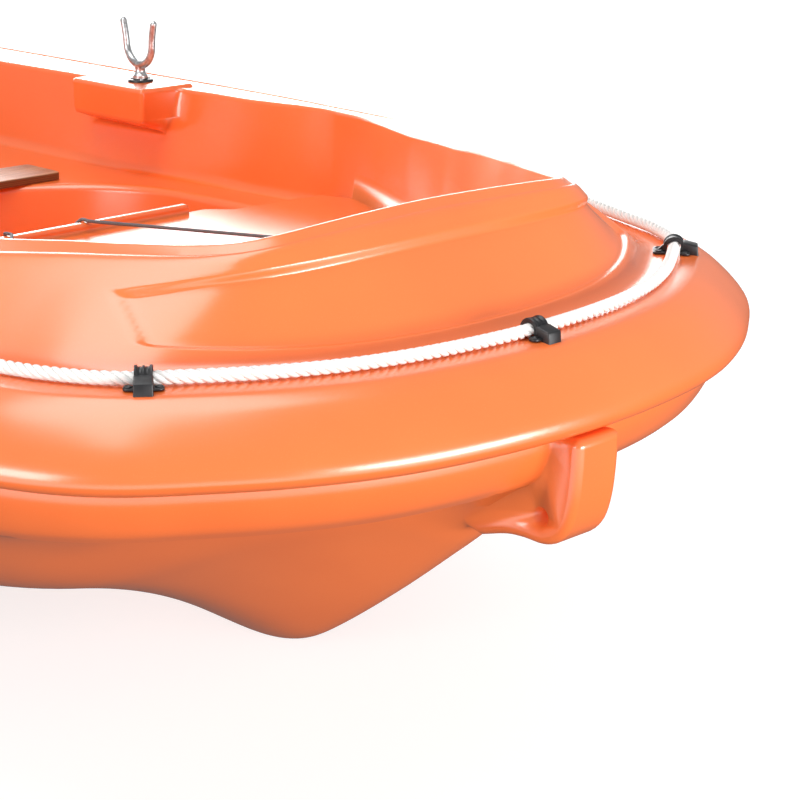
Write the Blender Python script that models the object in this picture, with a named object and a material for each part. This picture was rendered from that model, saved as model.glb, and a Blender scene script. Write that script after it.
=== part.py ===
"""Plastic dinghy: a foam-filled, rotationally moulded rowing and outboard tender.

Metres, +Z up. The bow points to -Y and starboard is -X. The origin is on the
floor under the middle of the boat. Most places are given as (half-breadth,
distance aft of the bow clip, height), which place() turns into world points.
"""
import math

import bmesh
import bpy
from mathutils import Matrix, Vector

# Driving dimensions
BOW_CLIP_Y = -1.4271         # rope centre at the stem
ROPE_Z = 0.454               # height of the lifeline, parallel to the floor
ROPE_R = 0.007
PARTING_Z = 0.3655           # lower edge of the fender, where the mouldings meet
REBATE_Z = 0.345             # the joint inside the fender
REBATE_OUT = -0.011          # from the lifeline to the joint's step
FENDER_Z = 0.447             # top of the fender, under the rope
BENCH_Z = 0.366
BOW_DECK_Z = 0.392
FLOOR_Z = 0.150              # top of the foot wells' floors
WALL = 0.014                 # thickness of the wells' walls
GAP = 0.0003                 # between faces that touch
FIT_GAP = 0.002              # between a well's wall and its pocket, and behind the inner pad

# Stations run from the stem (0) round the port side to the stern (20).
# Lifeline, in plan: half-breadth, distance aft
ROPE_LINE = (
    (0.000, 0.002), (0.110, 0.010), (0.200, 0.030), (0.275, 0.063), (0.341, 0.105),
    (0.400, 0.152), (0.436, 0.210), (0.461, 0.280), (0.510, 0.420), (0.572, 0.610),
    (0.612, 0.775), (0.630, 0.880), (0.655, 1.110), (0.666, 1.450), (0.664, 1.900),
    (0.650, 2.350), (0.626, 2.700), (0.592, 2.845), (0.510, 2.908), (0.300, 2.922),
    (0.000, 2.923))
# Top of the coaming, its outer edge: half-breadth, distance aft, height
RIM_LINE = (
    (0.000, 0.150, 0.563), (0.085, 0.148, 0.562), (0.150, 0.147, 0.560), (0.200, 0.150, 0.557),
    (0.236, 0.168, 0.552), (0.262, 0.208, 0.547), (0.292, 0.265, 0.543), (0.328, 0.335, 0.539),
    (0.402, 0.478, 0.528), (0.495, 0.630, 0.517), (0.548, 0.780, 0.510), (0.566, 0.880, 0.507),
    (0.592, 1.100, 0.503), (0.602, 1.450, 0.500), (0.600, 1.900, 0.500), (0.586, 2.350, 0.500),
    (0.560, 2.660, 0.500), (0.515, 2.775, 0.498), (0.420, 2.832, 0.490), (0.235, 2.888, 0.466),
    (0.000, 2.898, 0.458))
# Width of the coaming's flat top
RIM_WIDTHS = (0.012, 0.012, 0.012, 0.012, 0.012, 0.013, 0.016, 0.022, 0.032, 0.058, 0.045, 0.045,
              0.082, 0.118, 0.132, 0.126, 0.112, 0.085, 0.060, 0.034, 0.034)
# Foot of the cockpit's wall, in plan
WALL_FOOT_LINE = (
    (0.000, 0.188), (0.080, 0.187), (0.138, 0.189), (0.183, 0.197), (0.214, 0.219),
    (0.238, 0.262), (0.263, 0.322), (0.295, 0.395), (0.352, 0.510), (0.420, 0.640),
    (0.492, 0.795), (0.513, 0.870), (0.500, 1.080), (0.470, 1.400), (0.455, 1.850),
    (0.447, 2.300), (0.430, 2.570), (0.395, 2.670), (0.335, 2.745), (0.205, 2.842),
    (0.000, 2.860))
# Keel, on the centreline: distance aft, height
KEEL_LINE = (
    (-0.060, 0.262), (0.000, 0.245), (0.044, 0.233), (0.073, 0.216), (0.102, 0.193),
    (0.193, 0.120), (0.291, 0.048), (0.345, 0.016), (0.400, 0.0015), (0.480, 0.0), (3.000, 0.0))
# Bottom of a side runner: distance aft, half-breadth, height
RUNNER_LINE = (
    (0.000, 0.240, 0.330), (0.150, 0.330, 0.300), (0.370, 0.410, 0.200), (0.600, 0.455, 0.095),
    (0.900, 0.490, 0.024), (1.250, 0.505, 0.0), (2.300, 0.500, 0.0), (3.000, 0.480, 0.0))

STATIONS = len(ROPE_LINE) - 1
STEPS = 3                    # columns of faces between two stations

ORANGE = (1.0, 0.230, 0.055)
WHITE = (0.86, 0.85, 0.82)
BLACK = (0.018, 0.018, 0.020)
TIMBER = (0.42, 0.20, 0.085)
STEEL = (0.62, 0.63, 0.64)
GREY = (0.20, 0.20, 0.21)


def clear_scene():
    for item in list(bpy.data.objects):
        bpy.data.objects.remove(item)


def material(name, colour, roughness, metallic=0.0):
    made = bpy.data.materials.new(name)
    made.use_nodes = True
    shader = made.node_tree.nodes["Principled BSDF"]
    shader.inputs["Base Color"].default_value = (*colour, 1.0)
    shader.inputs["Roughness"].default_value = roughness
    shader.inputs["Metallic"].default_value = metallic
    return made


def place(half_breadth, aft, height):
    """A world point from the boat's own measures; port is positive."""
    return Vector((half_breadth, BOW_CLIP_Y + aft, height))


def mix(low, high, share):
    return low + (high - low) * share


def smooth_step(value):
    value = min(max(value, 0.0), 1.0)
    return value * value * (3.0 - 2.0 * value)


def hermite(before, start, end, after, share):
    """Cubic through start and end whose slopes come from the neighbours' chords."""
    span = (end - start).length
    back = (start - before).length
    ahead = (after - end).length
    slope_start = (end - before) / (span + back) * span
    slope_end = (after - start) / (span + ahead) * span
    s2 = share * share
    s3 = s2 * share
    return (start * (2 * s3 - 3 * s2 + 1) + slope_start * (s3 - 2 * s2 + share)
            + end * (3 * s2 - 2 * s3) + slope_end * (s3 - s2))


def mirrored(point):
    return Vector((-point[0], *point[1:]))


def station_line(points):
    """A smooth curve over the stations, symmetric at the stem and at the stern."""
    knots = [Vector(point) for point in points]
    ring = [mirrored(knots[1])] + knots + [mirrored(knots[-2])]

    def at(station):
        start = min(int(station), STATIONS - 1)
        return hermite(*ring[start:start + 4], station - start)
    return at


def profile(points):
    """Values over the distance aft, as straight mixes with eased joins."""
    knots = [Vector(point) for point in points]
    first = knots[0] * 2 - knots[1]
    last = knots[-1] * 2 - knots[-2]
    ring = [first] + knots + [last]

    def at(aft):
        start = 0
        while start < len(knots) - 2 and knots[start + 1][0] < aft:
            start += 1
        low, high = 0.0, 1.0
        for _ in range(24):
            middle = (low + high) / 2
            if hermite(*ring[start:start + 4], middle)[0] < aft:
                low = middle
            else:
                high = middle
        return hermite(*ring[start:start + 4], low)[1:]
    return at


rope_at = station_line(ROPE_LINE)
rim_at = station_line(RIM_LINE)
wall_foot_at = station_line(WALL_FOOT_LINE)
keel_at = profile(KEEL_LINE)
runner_at = profile(RUNNER_LINE)


def outward(station):
    """Unit normal of the lifeline in plan, pointing overboard."""
    step = 0.01
    ahead = rope_at(min(station + step, STATIONS))
    behind = rope_at(max(station - step, 0.0))
    if station < step:
        return Vector((0.0, -1.0))
    if station > STATIONS - step:
        return Vector((0.0, 1.0))
    along = (ahead - behind).normalized()
    return Vector((along[1], -along[0]))


def beside_rope(station, out, height):
    point = rope_at(station) + outward(station) * out
    return place(point[0], point[1], height)


def columns():
    count = STATIONS * STEPS
    return [index / STEPS for index in range(count + 1)]


def full_ring(point_at):
    """Port points from stem to stern, then their mirror images back to the stem."""
    port = [point_at(station) for station in columns()]
    port[0][0] = 0.0
    port[-1][0] = 0.0
    starboard = [mirrored(point) for point in reversed(port[1:-1])]
    return port + starboard


def solid_from_rings(name, rings, finish):
    """Quads between closed rings; the first ring is capped, the last one is welded shut."""
    shape = bmesh.new()
    rows = [[shape.verts.new(point) for point in ring] for ring in rings]
    for lower, upper in zip(rows, rows[1:]):
        for index in range(len(lower)):
            ahead = (index + 1) % len(lower)
            shape.faces.new((lower[index], lower[ahead], upper[ahead], upper[index]))
    shape.faces.new(rows[0])
    bmesh.ops.remove_doubles(shape, verts=shape.verts, dist=1e-5)
    bmesh.ops.dissolve_degenerate(shape, edges=shape.edges, dist=1e-6)
    bmesh.ops.recalc_face_normals(shape, faces=shape.faces)
    return object_from(name, shape, finish)


def object_from(name, shape, finish, smooth_deg=35.0):
    mesh = bpy.data.meshes.new(name)
    shape.to_mesh(mesh)
    shape.free()
    mesh.shade_smooth()
    mesh.set_sharp_from_angle(angle=math.radians(smooth_deg))
    made = bpy.data.objects.new(name, mesh)
    bpy.context.collection.objects.link(made)
    if finish is not None:
        mesh.materials.append(finish)
    return made


def boolean(target, tool, operation):
    """Apply one exact Boolean and drop the tool."""
    step = target.modifiers.new(operation.lower(), "BOOLEAN")
    step.operation = operation
    step.object = tool
    step.solver = "EXACT"
    graph = bpy.context.evaluated_depsgraph_get()
    mesh = bpy.data.meshes.new_from_object(target.evaluated_get(graph))
    target.modifiers.clear()
    target.data = mesh
    bpy.data.objects.remove(tool)


def rounded_outline(corners, steps=5):
    """Plan points of a polygon whose corners, (x, y, radius), are arcs."""
    points = []
    count = len(corners)
    for index, (x, y, radius) in enumerate(corners):
        here = Vector((x, y))
        before = Vector(corners[index - 1][:2])
        after = Vector(corners[(index + 1) % count][:2])
        into = (here - before).normalized()
        away = (after - here).normalized()
        turn = into.angle_signed(away)
        reach = radius * math.tan(abs(turn) / 2)
        start = here - into * reach
        side = Vector((-into[1], into[0])) * (-1 if turn > 0 else 1)
        centre = start + side * radius
        for step in range(steps + 1):
            angle = -turn * step / steps
            arm = start - centre
            spun = Vector((arm[0] * math.cos(angle) - arm[1] * math.sin(angle),
                           arm[0] * math.sin(angle) + arm[1] * math.cos(angle)))
            points.append(centre + spun)
    return points


def stacked(name, levels, finish):
    """Close a stack of plan outlines, [(points, z)], into one solid."""
    shape = bmesh.new()
    rows = [[shape.verts.new((point[0], point[1], height)) for point in outline]
            for outline, height in levels]
    for lower, upper in zip(rows, rows[1:]):
        for index in range(len(lower)):
            ahead = (index + 1) % len(lower)
            shape.faces.new((lower[index], lower[ahead], upper[ahead], upper[index]))
    shape.faces.new(rows[0])
    shape.faces.new(rows[-1])
    bmesh.ops.recalc_face_normals(shape, faces=shape.faces)
    return object_from(name, shape, finish)


# Hull moulding

def underside(half_breadth, aft):
    """Height of the three-lobed bottom: a centre vee and two side runners."""
    keel = keel_at(aft)[0]
    fullness = smooth_step((aft - 0.5) / 1.4)
    vee_round = mix(0.016, 0.050, fullness)
    away_keel = math.hypot(half_breadth, vee_round) - vee_round
    steep = mix(0.66, 0.42, fullness)
    rise = mix(0.150, 0.075, smooth_step((aft - 0.30) / 0.55))
    flare = mix(0.08, 0.03, smooth_step((aft - 0.30) / 0.55))
    vee = keel + rise * math.tanh(steep * away_keel / rise) + flare * away_keel
    runner_x, runner_z = runner_at(aft)
    away = half_breadth - runner_x
    width = mix(5.0, 9.0, smooth_step((aft - 0.4) / 1.0))
    runner = runner_z + width * away * away
    blend = 0.030
    share = min(max(0.5 + 0.5 * (runner - vee) / blend, 0.0), 1.0)
    return max(mix(runner, vee, share) - blend * share * (1.0 - share), 0.0)


def spine_aft(station):
    """Where a station's ribs meet the keel, as a distance aft."""
    return mix(0.30, 2.70, smooth_step(station / STATIONS) * 0.5 + station / STATIONS * 0.5)


def stern_share(station):
    return smooth_step((station - 16.0) / 2.0)


def belt_share(station):
    """How far the fender stands out: full at the bow, less along the sides, none at the stern."""
    side = mix(1.0, 0.82, smooth_step((station - 5.5) / 4.0))
    return mix(side, 0.03, stern_share(station))


def chine_height(station):
    return mix(0.307, 0.270, smooth_step((station - 4.0) / 8.0))


def hull_side(station, out, height):
    return beside_rope(station, out * belt_share(station) if out > 0 else out, height)


def hull_rib(station, share):
    """A point on the bottom, from the chine (0) in to the keel (1)."""
    chine = hull_side(station, 0.030, chine_height(station))
    spine = place(0.0, spine_aft(station), 0.0)
    point = chine.lerp(spine, share)
    bottom = underside(point[0], point[1] - BOW_CLIP_Y)
    bilge = mix(mix(0.34, 0.22, smooth_step((station - 4.0) / 6.0)), 0.02, stern_share(station))
    turn = min(share / bilge, 1.0)
    point[2] = mix(chine[2], min(bottom, chine[2]), math.sin(turn * math.pi / 2))
    return point


RIB_SHARES = (0.0, 0.01, 0.02, 0.06, 0.11, 0.17, 0.24, 0.31, 0.39, 0.48, 0.57, 0.66, 0.75, 0.84,
              0.92, 0.97, 1.0)
TOPSIDE = ((REBATE_OUT + GAP, REBATE_Z - GAP), (REBATE_OUT + GAP, PARTING_Z - GAP),
           (0.057, PARTING_Z - GAP), (0.057, 0.350), (0.051, 0.333), (0.042, 0.318))


TOW_HOLE = (-0.040, 0.2765, 0.0105)          # distance aft, height, radius


def tow_nose():
    """The stem's moulded nose, 64 mm wide, which carries the towing hole."""
    side = (
        (-0.088, PARTING_Z - GAP), (-0.086, 0.327), (-0.082, 0.295), (-0.073, 0.268),
        (-0.058, 0.252), (-0.040, 0.2455), (-0.015, 0.2455), (0.010, 0.243), (0.044, 0.233),
        (0.080, 0.240), (0.030, 0.300), (0.005, PARTING_Z - GAP))
    half = 0.032
    shape = bmesh.new()
    rows = [[shape.verts.new(place(x, aft, height)) for aft, height in side] for x in (-half, half)]
    for index in range(len(side)):
        ahead = (index + 1) % len(side)
        shape.faces.new((rows[0][index], rows[0][ahead], rows[1][ahead], rows[1][index]))
    shape.faces.new(rows[0])
    shape.faces.new(rows[1])
    bmesh.ops.recalc_face_normals(shape, faces=shape.faces)
    made = object_from("nose_tool", shape, None)
    round_edges = made.modifiers.new("round", "BEVEL")
    round_edges.width = 0.009
    round_edges.segments = 3
    round_edges.limit_method = "ANGLE"
    round_edges.angle_limit = math.radians(50.0)
    return made


def cross_cylinder(name, centre, radius, length, sides=20):
    """A cylinder that lies athwartships."""
    shape = bmesh.new()
    bmesh.ops.create_cone(shape, cap_ends=True, segments=sides, radius1=radius, radius2=radius,
                          depth=length)
    turn = Matrix.Rotation(math.radians(90.0), 4, "Y")
    bmesh.ops.transform(shape, matrix=Matrix.Translation(centre) @ turn, verts=shape.verts)
    return object_from(name, shape, None)


WELL_EDGE_R = 0.012          # rounding of a well's upper edge
SMALLEST_R = 0.008           # a well's corner, however far its outline is drawn in


def well_outline(front, back, half_front, half_back, front_r, back_r, grow):
    """Plan of a foot well, grown outwards by grow."""
    y_front = BOW_CLIP_Y + front - grow
    y_back = BOW_CLIP_Y + back + grow
    front_r = max(front_r + grow, SMALLEST_R)
    back_r = max(back_r + grow, SMALLEST_R)
    return rounded_outline((
        (half_front + grow, y_front, front_r), (half_back + grow, y_back, back_r),
        (-half_back - grow, y_back, back_r), (-half_front - grow, y_front, front_r)))


FORE_WELL = {"front": 0.915, "back": 1.330, "half_front": 0.438, "half_back": 0.415,
             "front_r": 0.040, "back_r": 0.250}
AFT_WELL = {"front": 1.640, "back": 2.420, "half_front": 0.370, "half_back": 0.350,
            "front_r": 0.060, "back_r": 0.080}


def well_tool(name, well, grow, bottom, top, edge_r=0.0):
    """A well's space with sloping sides and a rounded foot; grow makes the tub round it."""
    draft = 0.030
    foot_r = 0.030
    levels = []
    for angle in (0.0, 30.0, 60.0):
        inset = draft + foot_r * (1.0 - math.sin(math.radians(angle)))
        height = bottom + foot_r * (1.0 - math.cos(math.radians(angle)))
        levels.append((well_outline(**well, grow=grow - inset), height))
    levels.append((well_outline(**well, grow=grow - draft), bottom + foot_r))
    levels.append((well_outline(**well, grow=grow), min(top, BENCH_Z) - edge_r))
    if edge_r:
        for angle in (30.0, 60.0, 90.0):
            turn = math.radians(angle)
            levels.append((well_outline(**well, grow=grow + edge_r * (1.0 - math.cos(turn))),
                           BENCH_Z - edge_r * (1.0 - math.sin(turn))))
        levels.append((well_outline(**well, grow=grow + edge_r), top))
    elif top > BENCH_Z:
        levels.append((well_outline(**well, grow=grow), top))
    return stacked(name, levels, None)


def make_hull(finish):
    rings = [full_ring(lambda station, out=out, height=height: hull_side(station, out, height))
             for out, height in TOPSIDE]
    rings += [full_ring(lambda station, share=share: hull_rib(station, share))
              for share in RIB_SHARES]
    hull = solid_from_rings("hull_moulding", rings, finish)
    boolean(hull, tow_nose(), "UNION")
    boolean(hull, cross_cylinder("hole_tool", place(0.0, TOW_HOLE[0], TOW_HOLE[1]), TOW_HOLE[2],
                                  0.3), "DIFFERENCE")
    for well in (FORE_WELL, AFT_WELL):
        pocket = well_tool("pocket_tool", well, WALL + FIT_GAP, FLOOR_Z - WALL - FIT_GAP, 0.5)
        boolean(hull, pocket, "DIFFERENCE")
    return hull


# Deck moulding: fender, coaming and cockpit in one piece

FENDER = (
    (REBATE_OUT, REBATE_Z), (REBATE_OUT, PARTING_Z), (0.066, PARTING_Z), (0.0775, 0.3672),
    (0.0860, 0.3720), (0.0895, 0.3795), (0.0870, 0.391), (0.0775, 0.405), (0.0640, 0.4195),
    (0.0490, 0.4330), (0.0380, 0.4405), (0.0270, 0.4455), (0.000, FENDER_Z), (-0.020, FENDER_Z))
RECESS_DEPTH = 0.007


def fender_point(station, out, height):
    return beside_rope(station, out * belt_share(station) if out > 0 else out, height)


def recess_low(station):
    """Share of the coaming's face where the bow recess begins."""
    return 0.090 + 0.0052 * min(station, 5.0) ** 2


def recess_high(station):
    return 0.765 - 0.022 * min(max(station - 3.5, 0.0), 2.3) ** 2


def recess_share(station, share):
    """1 in the sunk panel round the bow, 0 outside it."""
    low, high = recess_low(station), recess_high(station)
    across = smooth_step((share - low) / 0.05) * smooth_step((high - share) / 0.07)
    end = 4.55 + 2.3 * share
    return across * smooth_step((end - station) / 0.35)


def coaming_face(station, share):
    """From the fender (0) up the sloping outer face to the rim (1), with the bow recess."""
    foot = beside_rope(station, -0.034, FENDER_Z)
    rim = place(*rim_at(station))
    run = rim - foot
    point = foot + run * share
    overboard = outward(station)
    level = Vector((overboard[0], overboard[1], 0.0))
    normal = (level * run[2] - Vector((0.0, 0.0, level.dot(run)))).normalized()
    crown = 0.010 * max((share - 0.85) / 0.15, 0.0) ** 2
    point[2] -= crown
    return point - normal * RECESS_DEPTH * recess_share(station, share)


def face_ring(station, step):
    """The rings of the coaming's face follow the recess's edges."""
    low, high = recess_low(station), recess_high(station)
    shares = (low * 0.5, low, low + 0.05, mix(low, high, 0.35), mix(low, high, 0.65), high - 0.07,
              high, mix(high, 1.0, 0.5), 0.97)
    return coaming_face(station, shares[step])


FACE_RINGS = 9


def rim_width(station):
    start = min(int(station), STATIONS - 1)
    return mix(RIM_WIDTHS[start], RIM_WIDTHS[start + 1], smooth_step(station - start))


def inner_wall(station, share):
    """From the rim's inner edge (0) down to the wall's foot (1)."""
    rim = place(*rim_at(station))
    foot_line = wall_foot_at(station)
    foot = place(foot_line[0], foot_line[1], BENCH_Z)
    inward = Vector((foot[0] - rim[0], foot[1] - rim[1], 0.0)).normalized()
    edge = rim + inward * rim_width(station)
    return edge.lerp(foot, share)


def bench_ring(station, share):
    """From the wall's foot (0) in to the centreline (1), flat."""
    foot_line = wall_foot_at(station)
    foot = place(foot_line[0], foot_line[1], BENCH_Z)
    middle = place(0.0, mix(0.55, 2.50, station / STATIONS), BENCH_Z)
    return foot.lerp(middle, share)


PLATFORM_EDGE = ((0.480, 0.862), (0.330, 0.872), (0.300, 0.900), (0.0, 0.900))
BEAD = (0.270, 0.884, 0.9005, 0.405)           # half-length, front, back, top
BOSS = (0.442, 0.545, 1.215, 1.395)            # inner and outer half-breadth, front, back
BOSS_FOOT_Z = 0.430
BOSS_FOOT_X = 0.500
BOSS_TOP_Z = 0.5045


def bow_platform():
    """The raised bow deck, with its edge at the fore well."""
    corners = []
    for station in range(5, 11):
        line = wall_foot_at(station)
        corners.append((line[0] + 0.010, BOW_CLIP_Y + line[1]))
    outline = [(0.0, BOW_CLIP_Y + 0.180), (0.15, BOW_CLIP_Y + 0.182)] + corners
    outline += [(x, BOW_CLIP_Y + aft) for x, aft in PLATFORM_EDGE]
    full = outline + [(-x, y) for x, y in reversed(outline[1:-1])]
    return stacked("platform_tool", [(full, PARTING_Z + 0.004), (full, BOW_DECK_Z)], None)


def bar(name, low, high, bevel, finish=None):
    """A block between two corners with rounded edges."""
    shape = bmesh.new()
    bmesh.ops.create_cube(shape, size=1.0)
    size = high - low
    for vert in shape.verts:
        vert.co = low + Vector((size[axis] * (vert.co[axis] + 0.5) for axis in range(3)))
    if bevel:
        bmesh.ops.bevel(shape, geom=shape.edges[:], offset=bevel, segments=2, profile=0.5,
                        affect="EDGES")
    return object_from(name, shape, finish)


def bow_bead():
    half, front, back, top = BEAD
    return bar("bead_tool", place(-half, front, BOW_DECK_Z - 0.010), place(half, back, top), 0.006)


def rowlock_boss(side):
    """The block moulded on the side wall, which carries a rowlock socket."""
    inner, outer, front, back = BOSS
    tops = [(side * inner, front), (side * outer, front), (side * outer, back), (side * inner, back)]
    feet = [(side * BOSS_FOOT_X, front + 0.012), (side * outer, front + 0.012),
            (side * outer, back - 0.012), (side * BOSS_FOOT_X, back - 0.012)]
    levels = [([(x, BOW_CLIP_Y + aft) for x, aft in feet], BOSS_FOOT_Z),
              ([(x, BOW_CLIP_Y + aft) for x, aft in tops], BOSS_FOOT_Z + 0.022),
              ([(x, BOW_CLIP_Y + aft) for x, aft in tops], BOSS_TOP_Z)]
    return stacked("boss_tool", levels, None)


def make_deck(finish):
    rings = [full_ring(lambda station, out=out, height=height: fender_point(station, out, height))
             for out, height in FENDER]
    rings += [full_ring(lambda station, step=step: face_ring(station, step))
              for step in range(FACE_RINGS)]
    rings += [full_ring(lambda station, share=share: inner_wall(station, share))
              for share in (0.0, 0.06, 0.5, 1.0)]
    rings += [full_ring(lambda station, share=share: bench_ring(station, share))
              for share in (0.5, 1.0)]
    deck = solid_from_rings("deck_moulding", rings, finish)
    boolean(deck, bow_platform(), "UNION")
    boolean(deck, bow_bead(), "UNION")
    for well in (FORE_WELL, AFT_WELL):
        boolean(deck, well_tool("tub_tool", well, WALL, FLOOR_Z - WALL, BENCH_Z - 0.004), "UNION")
        space = well_tool("well_tool", well, 0.0, FLOOR_Z, 0.7, WELL_EDGE_R)
        boolean(deck, space, "DIFFERENCE")
    for side in (-1, 1):
        boolean(deck, rowlock_boss(side), "UNION")
        hole = post("socket_hole", rowlock_place(side, 0.0), SLEEVE_R + GAP, BOSS_TOP_Z - 0.050,
                    BOSS_TOP_Z + 0.05)
        boolean(deck, hole, "DIFFERENCE")
    return deck


# Turned and bent pieces

def post(name, centre, radius, low, high, sides=20, finish=None, hole=0.0):
    """An upright cylinder, or a tube where hole gives the inner radius."""
    profile_points = [(radius, low), (radius, high), (hole, high), (hole, low)]
    return turned(name, centre, profile_points, sides, finish)


def turned(name, centre, outline, sides, finish):
    """Turn a closed (radius, z) outline round the upright axis through centre."""
    shape = bmesh.new()
    rows = []
    for radius, height in outline:
        if radius < 1e-6:
            rows.append([shape.verts.new((centre[0], centre[1], height))] * sides)
            continue
        rows.append([shape.verts.new((centre[0] + radius * math.cos(math.tau * step / sides),
                                      centre[1] + radius * math.sin(math.tau * step / sides), height))
                     for step in range(sides)])
    for index, lower in enumerate(rows):
        upper = rows[(index + 1) % len(rows)]
        if lower[0] is lower[1] and upper[0] is upper[1]:
            continue
        for step in range(sides):
            ahead = (step + 1) % sides
            corners = []
            for corner in (lower[step], lower[ahead], upper[ahead], upper[step]):
                if corner not in corners:
                    corners.append(corner)
            shape.faces.new(corners)
    bmesh.ops.recalc_face_normals(shape, faces=shape.faces)
    return object_from(name, shape, finish)


def tube(name, path, radii, sides, finish):
    """A round bar along a smooth path; radii is one number or one for each point."""
    if not isinstance(radii, tuple):
        radii = (radii,) * len(path)
    shape = bmesh.new()
    count = len(path)
    side_way = None
    rows = []
    for index, point in enumerate(path):
        along = (path[min(index + 1, count - 1)] - path[max(index - 1, 0)]).normalized()
        if side_way is None:
            up = Vector((0.0, 0.0, 1.0)) if abs(along[2]) < 0.9 else Vector((1.0, 0.0, 0.0))
            side_way = along.cross(up).normalized()
        side_way = (side_way - along * along.dot(side_way)).normalized()
        up_way = along.cross(side_way)
        rows.append([shape.verts.new(point + (side_way * math.cos(math.tau * step / sides)
                                              + up_way * math.sin(math.tau * step / sides))
                                     * radii[index])
                     for step in range(sides)])
    for lower, upper in zip(rows, rows[1:]):
        for step in range(sides):
            ahead = (step + 1) % sides
            shape.faces.new((lower[step], lower[ahead], upper[ahead], upper[step]))
    shape.faces.new(rows[0])
    shape.faces.new(rows[-1])
    bmesh.ops.recalc_face_normals(shape, faces=shape.faces)
    return object_from(name, shape, finish)


# Lifeline and its saddle clips

ROPE_END = 16.20             # station of the lifeline's last clip
CLIP_PITCH = 0.412
CLIP_HALF = 0.0125


def rope_point(station):
    return beside_rope(station, 0.0, ROPE_Z + 0.0006)


def rope_lengths(samples=40):
    """Length along the lifeline from the stem, at closely spaced stations."""
    stations = [index / samples for index in range(int(ROPE_END * samples) + 1)]
    lengths = [0.0]
    for low, high in zip(stations, stations[1:]):
        lengths.append(lengths[-1] + (rope_point(high) - rope_point(low)).length)
    return stations, lengths


def station_at_length(target):
    stations, lengths = rope_lengths()
    for index, length in enumerate(lengths):
        if length >= target:
            share = (target - lengths[index - 1]) / (length - lengths[index - 1]) if index else 0.0
            return mix(stations[max(index - 1, 0)], stations[index], share)
    return stations[-1]


def make_lifeline(finish):
    """The rope from the port quarter round the bow to the starboard quarter."""
    total = rope_lengths()[1][-1]
    fine, coarse, tight_length = 0.024, 0.060, 0.80
    lengths = [0.0]
    while lengths[-1] < total - coarse:
        lengths.append(lengths[-1] + (fine if lengths[-1] < tight_length else coarse))
    port = [rope_point(station_at_length(length)) for length in lengths]
    starboard = [mirrored(point) for point in reversed(port[1:])]
    return tube("lifeline", starboard + port, ROPE_R, 8, finish)


def make_knot(name, side, finish):
    """The stopper knot at an end of the lifeline."""
    stations = rope_lengths()[0]
    end = rope_point(stations[-1])
    along = (end - rope_point(stations[-3])).normalized()
    steps = ((0.0003, 0.0072), (0.004, 0.0115), (0.011, 0.0138), (0.018, 0.0125), (0.024, 0.0085),
             (0.027, 0.0040))
    path = [end + along * reach for reach, _ in steps]
    path = [Vector((side * point[0], point[1], point[2] + 0.0065)) for point in path]
    return tube(name, path, tuple(radius for _, radius in steps), 12, finish)


def clip_section():
    """Cross-section of a clip: two feet and an arch over the rope; (out, height)."""
    centre = ROPE_Z + 0.0006
    outer, inner = 0.0120, 0.0082
    left = [(-0.0190, 0.4476), (-0.0190, 0.4505), (-0.0130, 0.4518)]
    arch = [(-outer * math.cos(math.radians(a)), centre + outer * math.sin(math.radians(a)))
            for a in range(0, 181, 20)]
    right = [(0.0130, 0.4516), (0.0190, 0.4500), (0.0196, 0.4466), (0.0130, 0.4472),
             (inner, 0.4476)]
    under = [(inner * math.cos(math.radians(a)), centre + inner * math.sin(math.radians(a)))
             for a in range(0, 181, 30)]
    return left + arch + right + under + [(-inner, 0.4476)]


def make_clip(name, station, side, finish):
    """One saddle clip across the rope, square to it."""
    normal = outward(station)
    along = Vector((-normal[1], normal[0], 0.0))
    shape = bmesh.new()
    rows = []
    for reach in (-CLIP_HALF, CLIP_HALF):
        row = []
        for out, height in clip_section():
            point = beside_rope(station, out, height) + along * reach
            row.append(shape.verts.new((side * point[0], point[1], point[2])))
        rows.append(row)
    for index in range(len(rows[0])):
        ahead = (index + 1) % len(rows[0])
        shape.faces.new((rows[0][index], rows[0][ahead], rows[1][ahead], rows[1][index]))
    for row in rows:
        shape.faces.new(row)
    bmesh.ops.recalc_face_normals(shape, faces=shape.faces)
    return object_from(name, shape, finish)


def make_clips(finish):
    make_clip("clip_bow", 0.0, 1, finish)
    count = int(rope_lengths()[1][-1] / CLIP_PITCH)
    for number in range(1, count + 1):
        station = station_at_length(CLIP_PITCH * number)
        for side, word in ((1, "port"), (-1, "starboard")):
            make_clip(f"clip_{word}_{number}", station, side, finish)


# Rowlocks

SLEEVE_R = 0.0100
PIN_R = 0.0060
PIN_PLAY = 0.0006
FLANGE_T = 0.0035
ROWLOCK_AFT = 1.290
ROWLOCK_X = 0.498


def rowlock_place(side, height):
    return place(side * ROWLOCK_X, ROWLOCK_AFT, height)


def make_rowlock_socket(name, side, finish):
    top = BOSS_TOP_Z + GAP
    bore = PIN_R + PIN_PLAY
    outline = [(bore, top - 0.046), (SLEEVE_R, top - 0.046), (SLEEVE_R, top), (0.020, top),
               (0.020, top + FLANGE_T - 0.001), (0.019, top + FLANGE_T), (bore, top + FLANGE_T)]
    return turned(name, rowlock_place(side, 0.0), outline, 20, finish)


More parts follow.
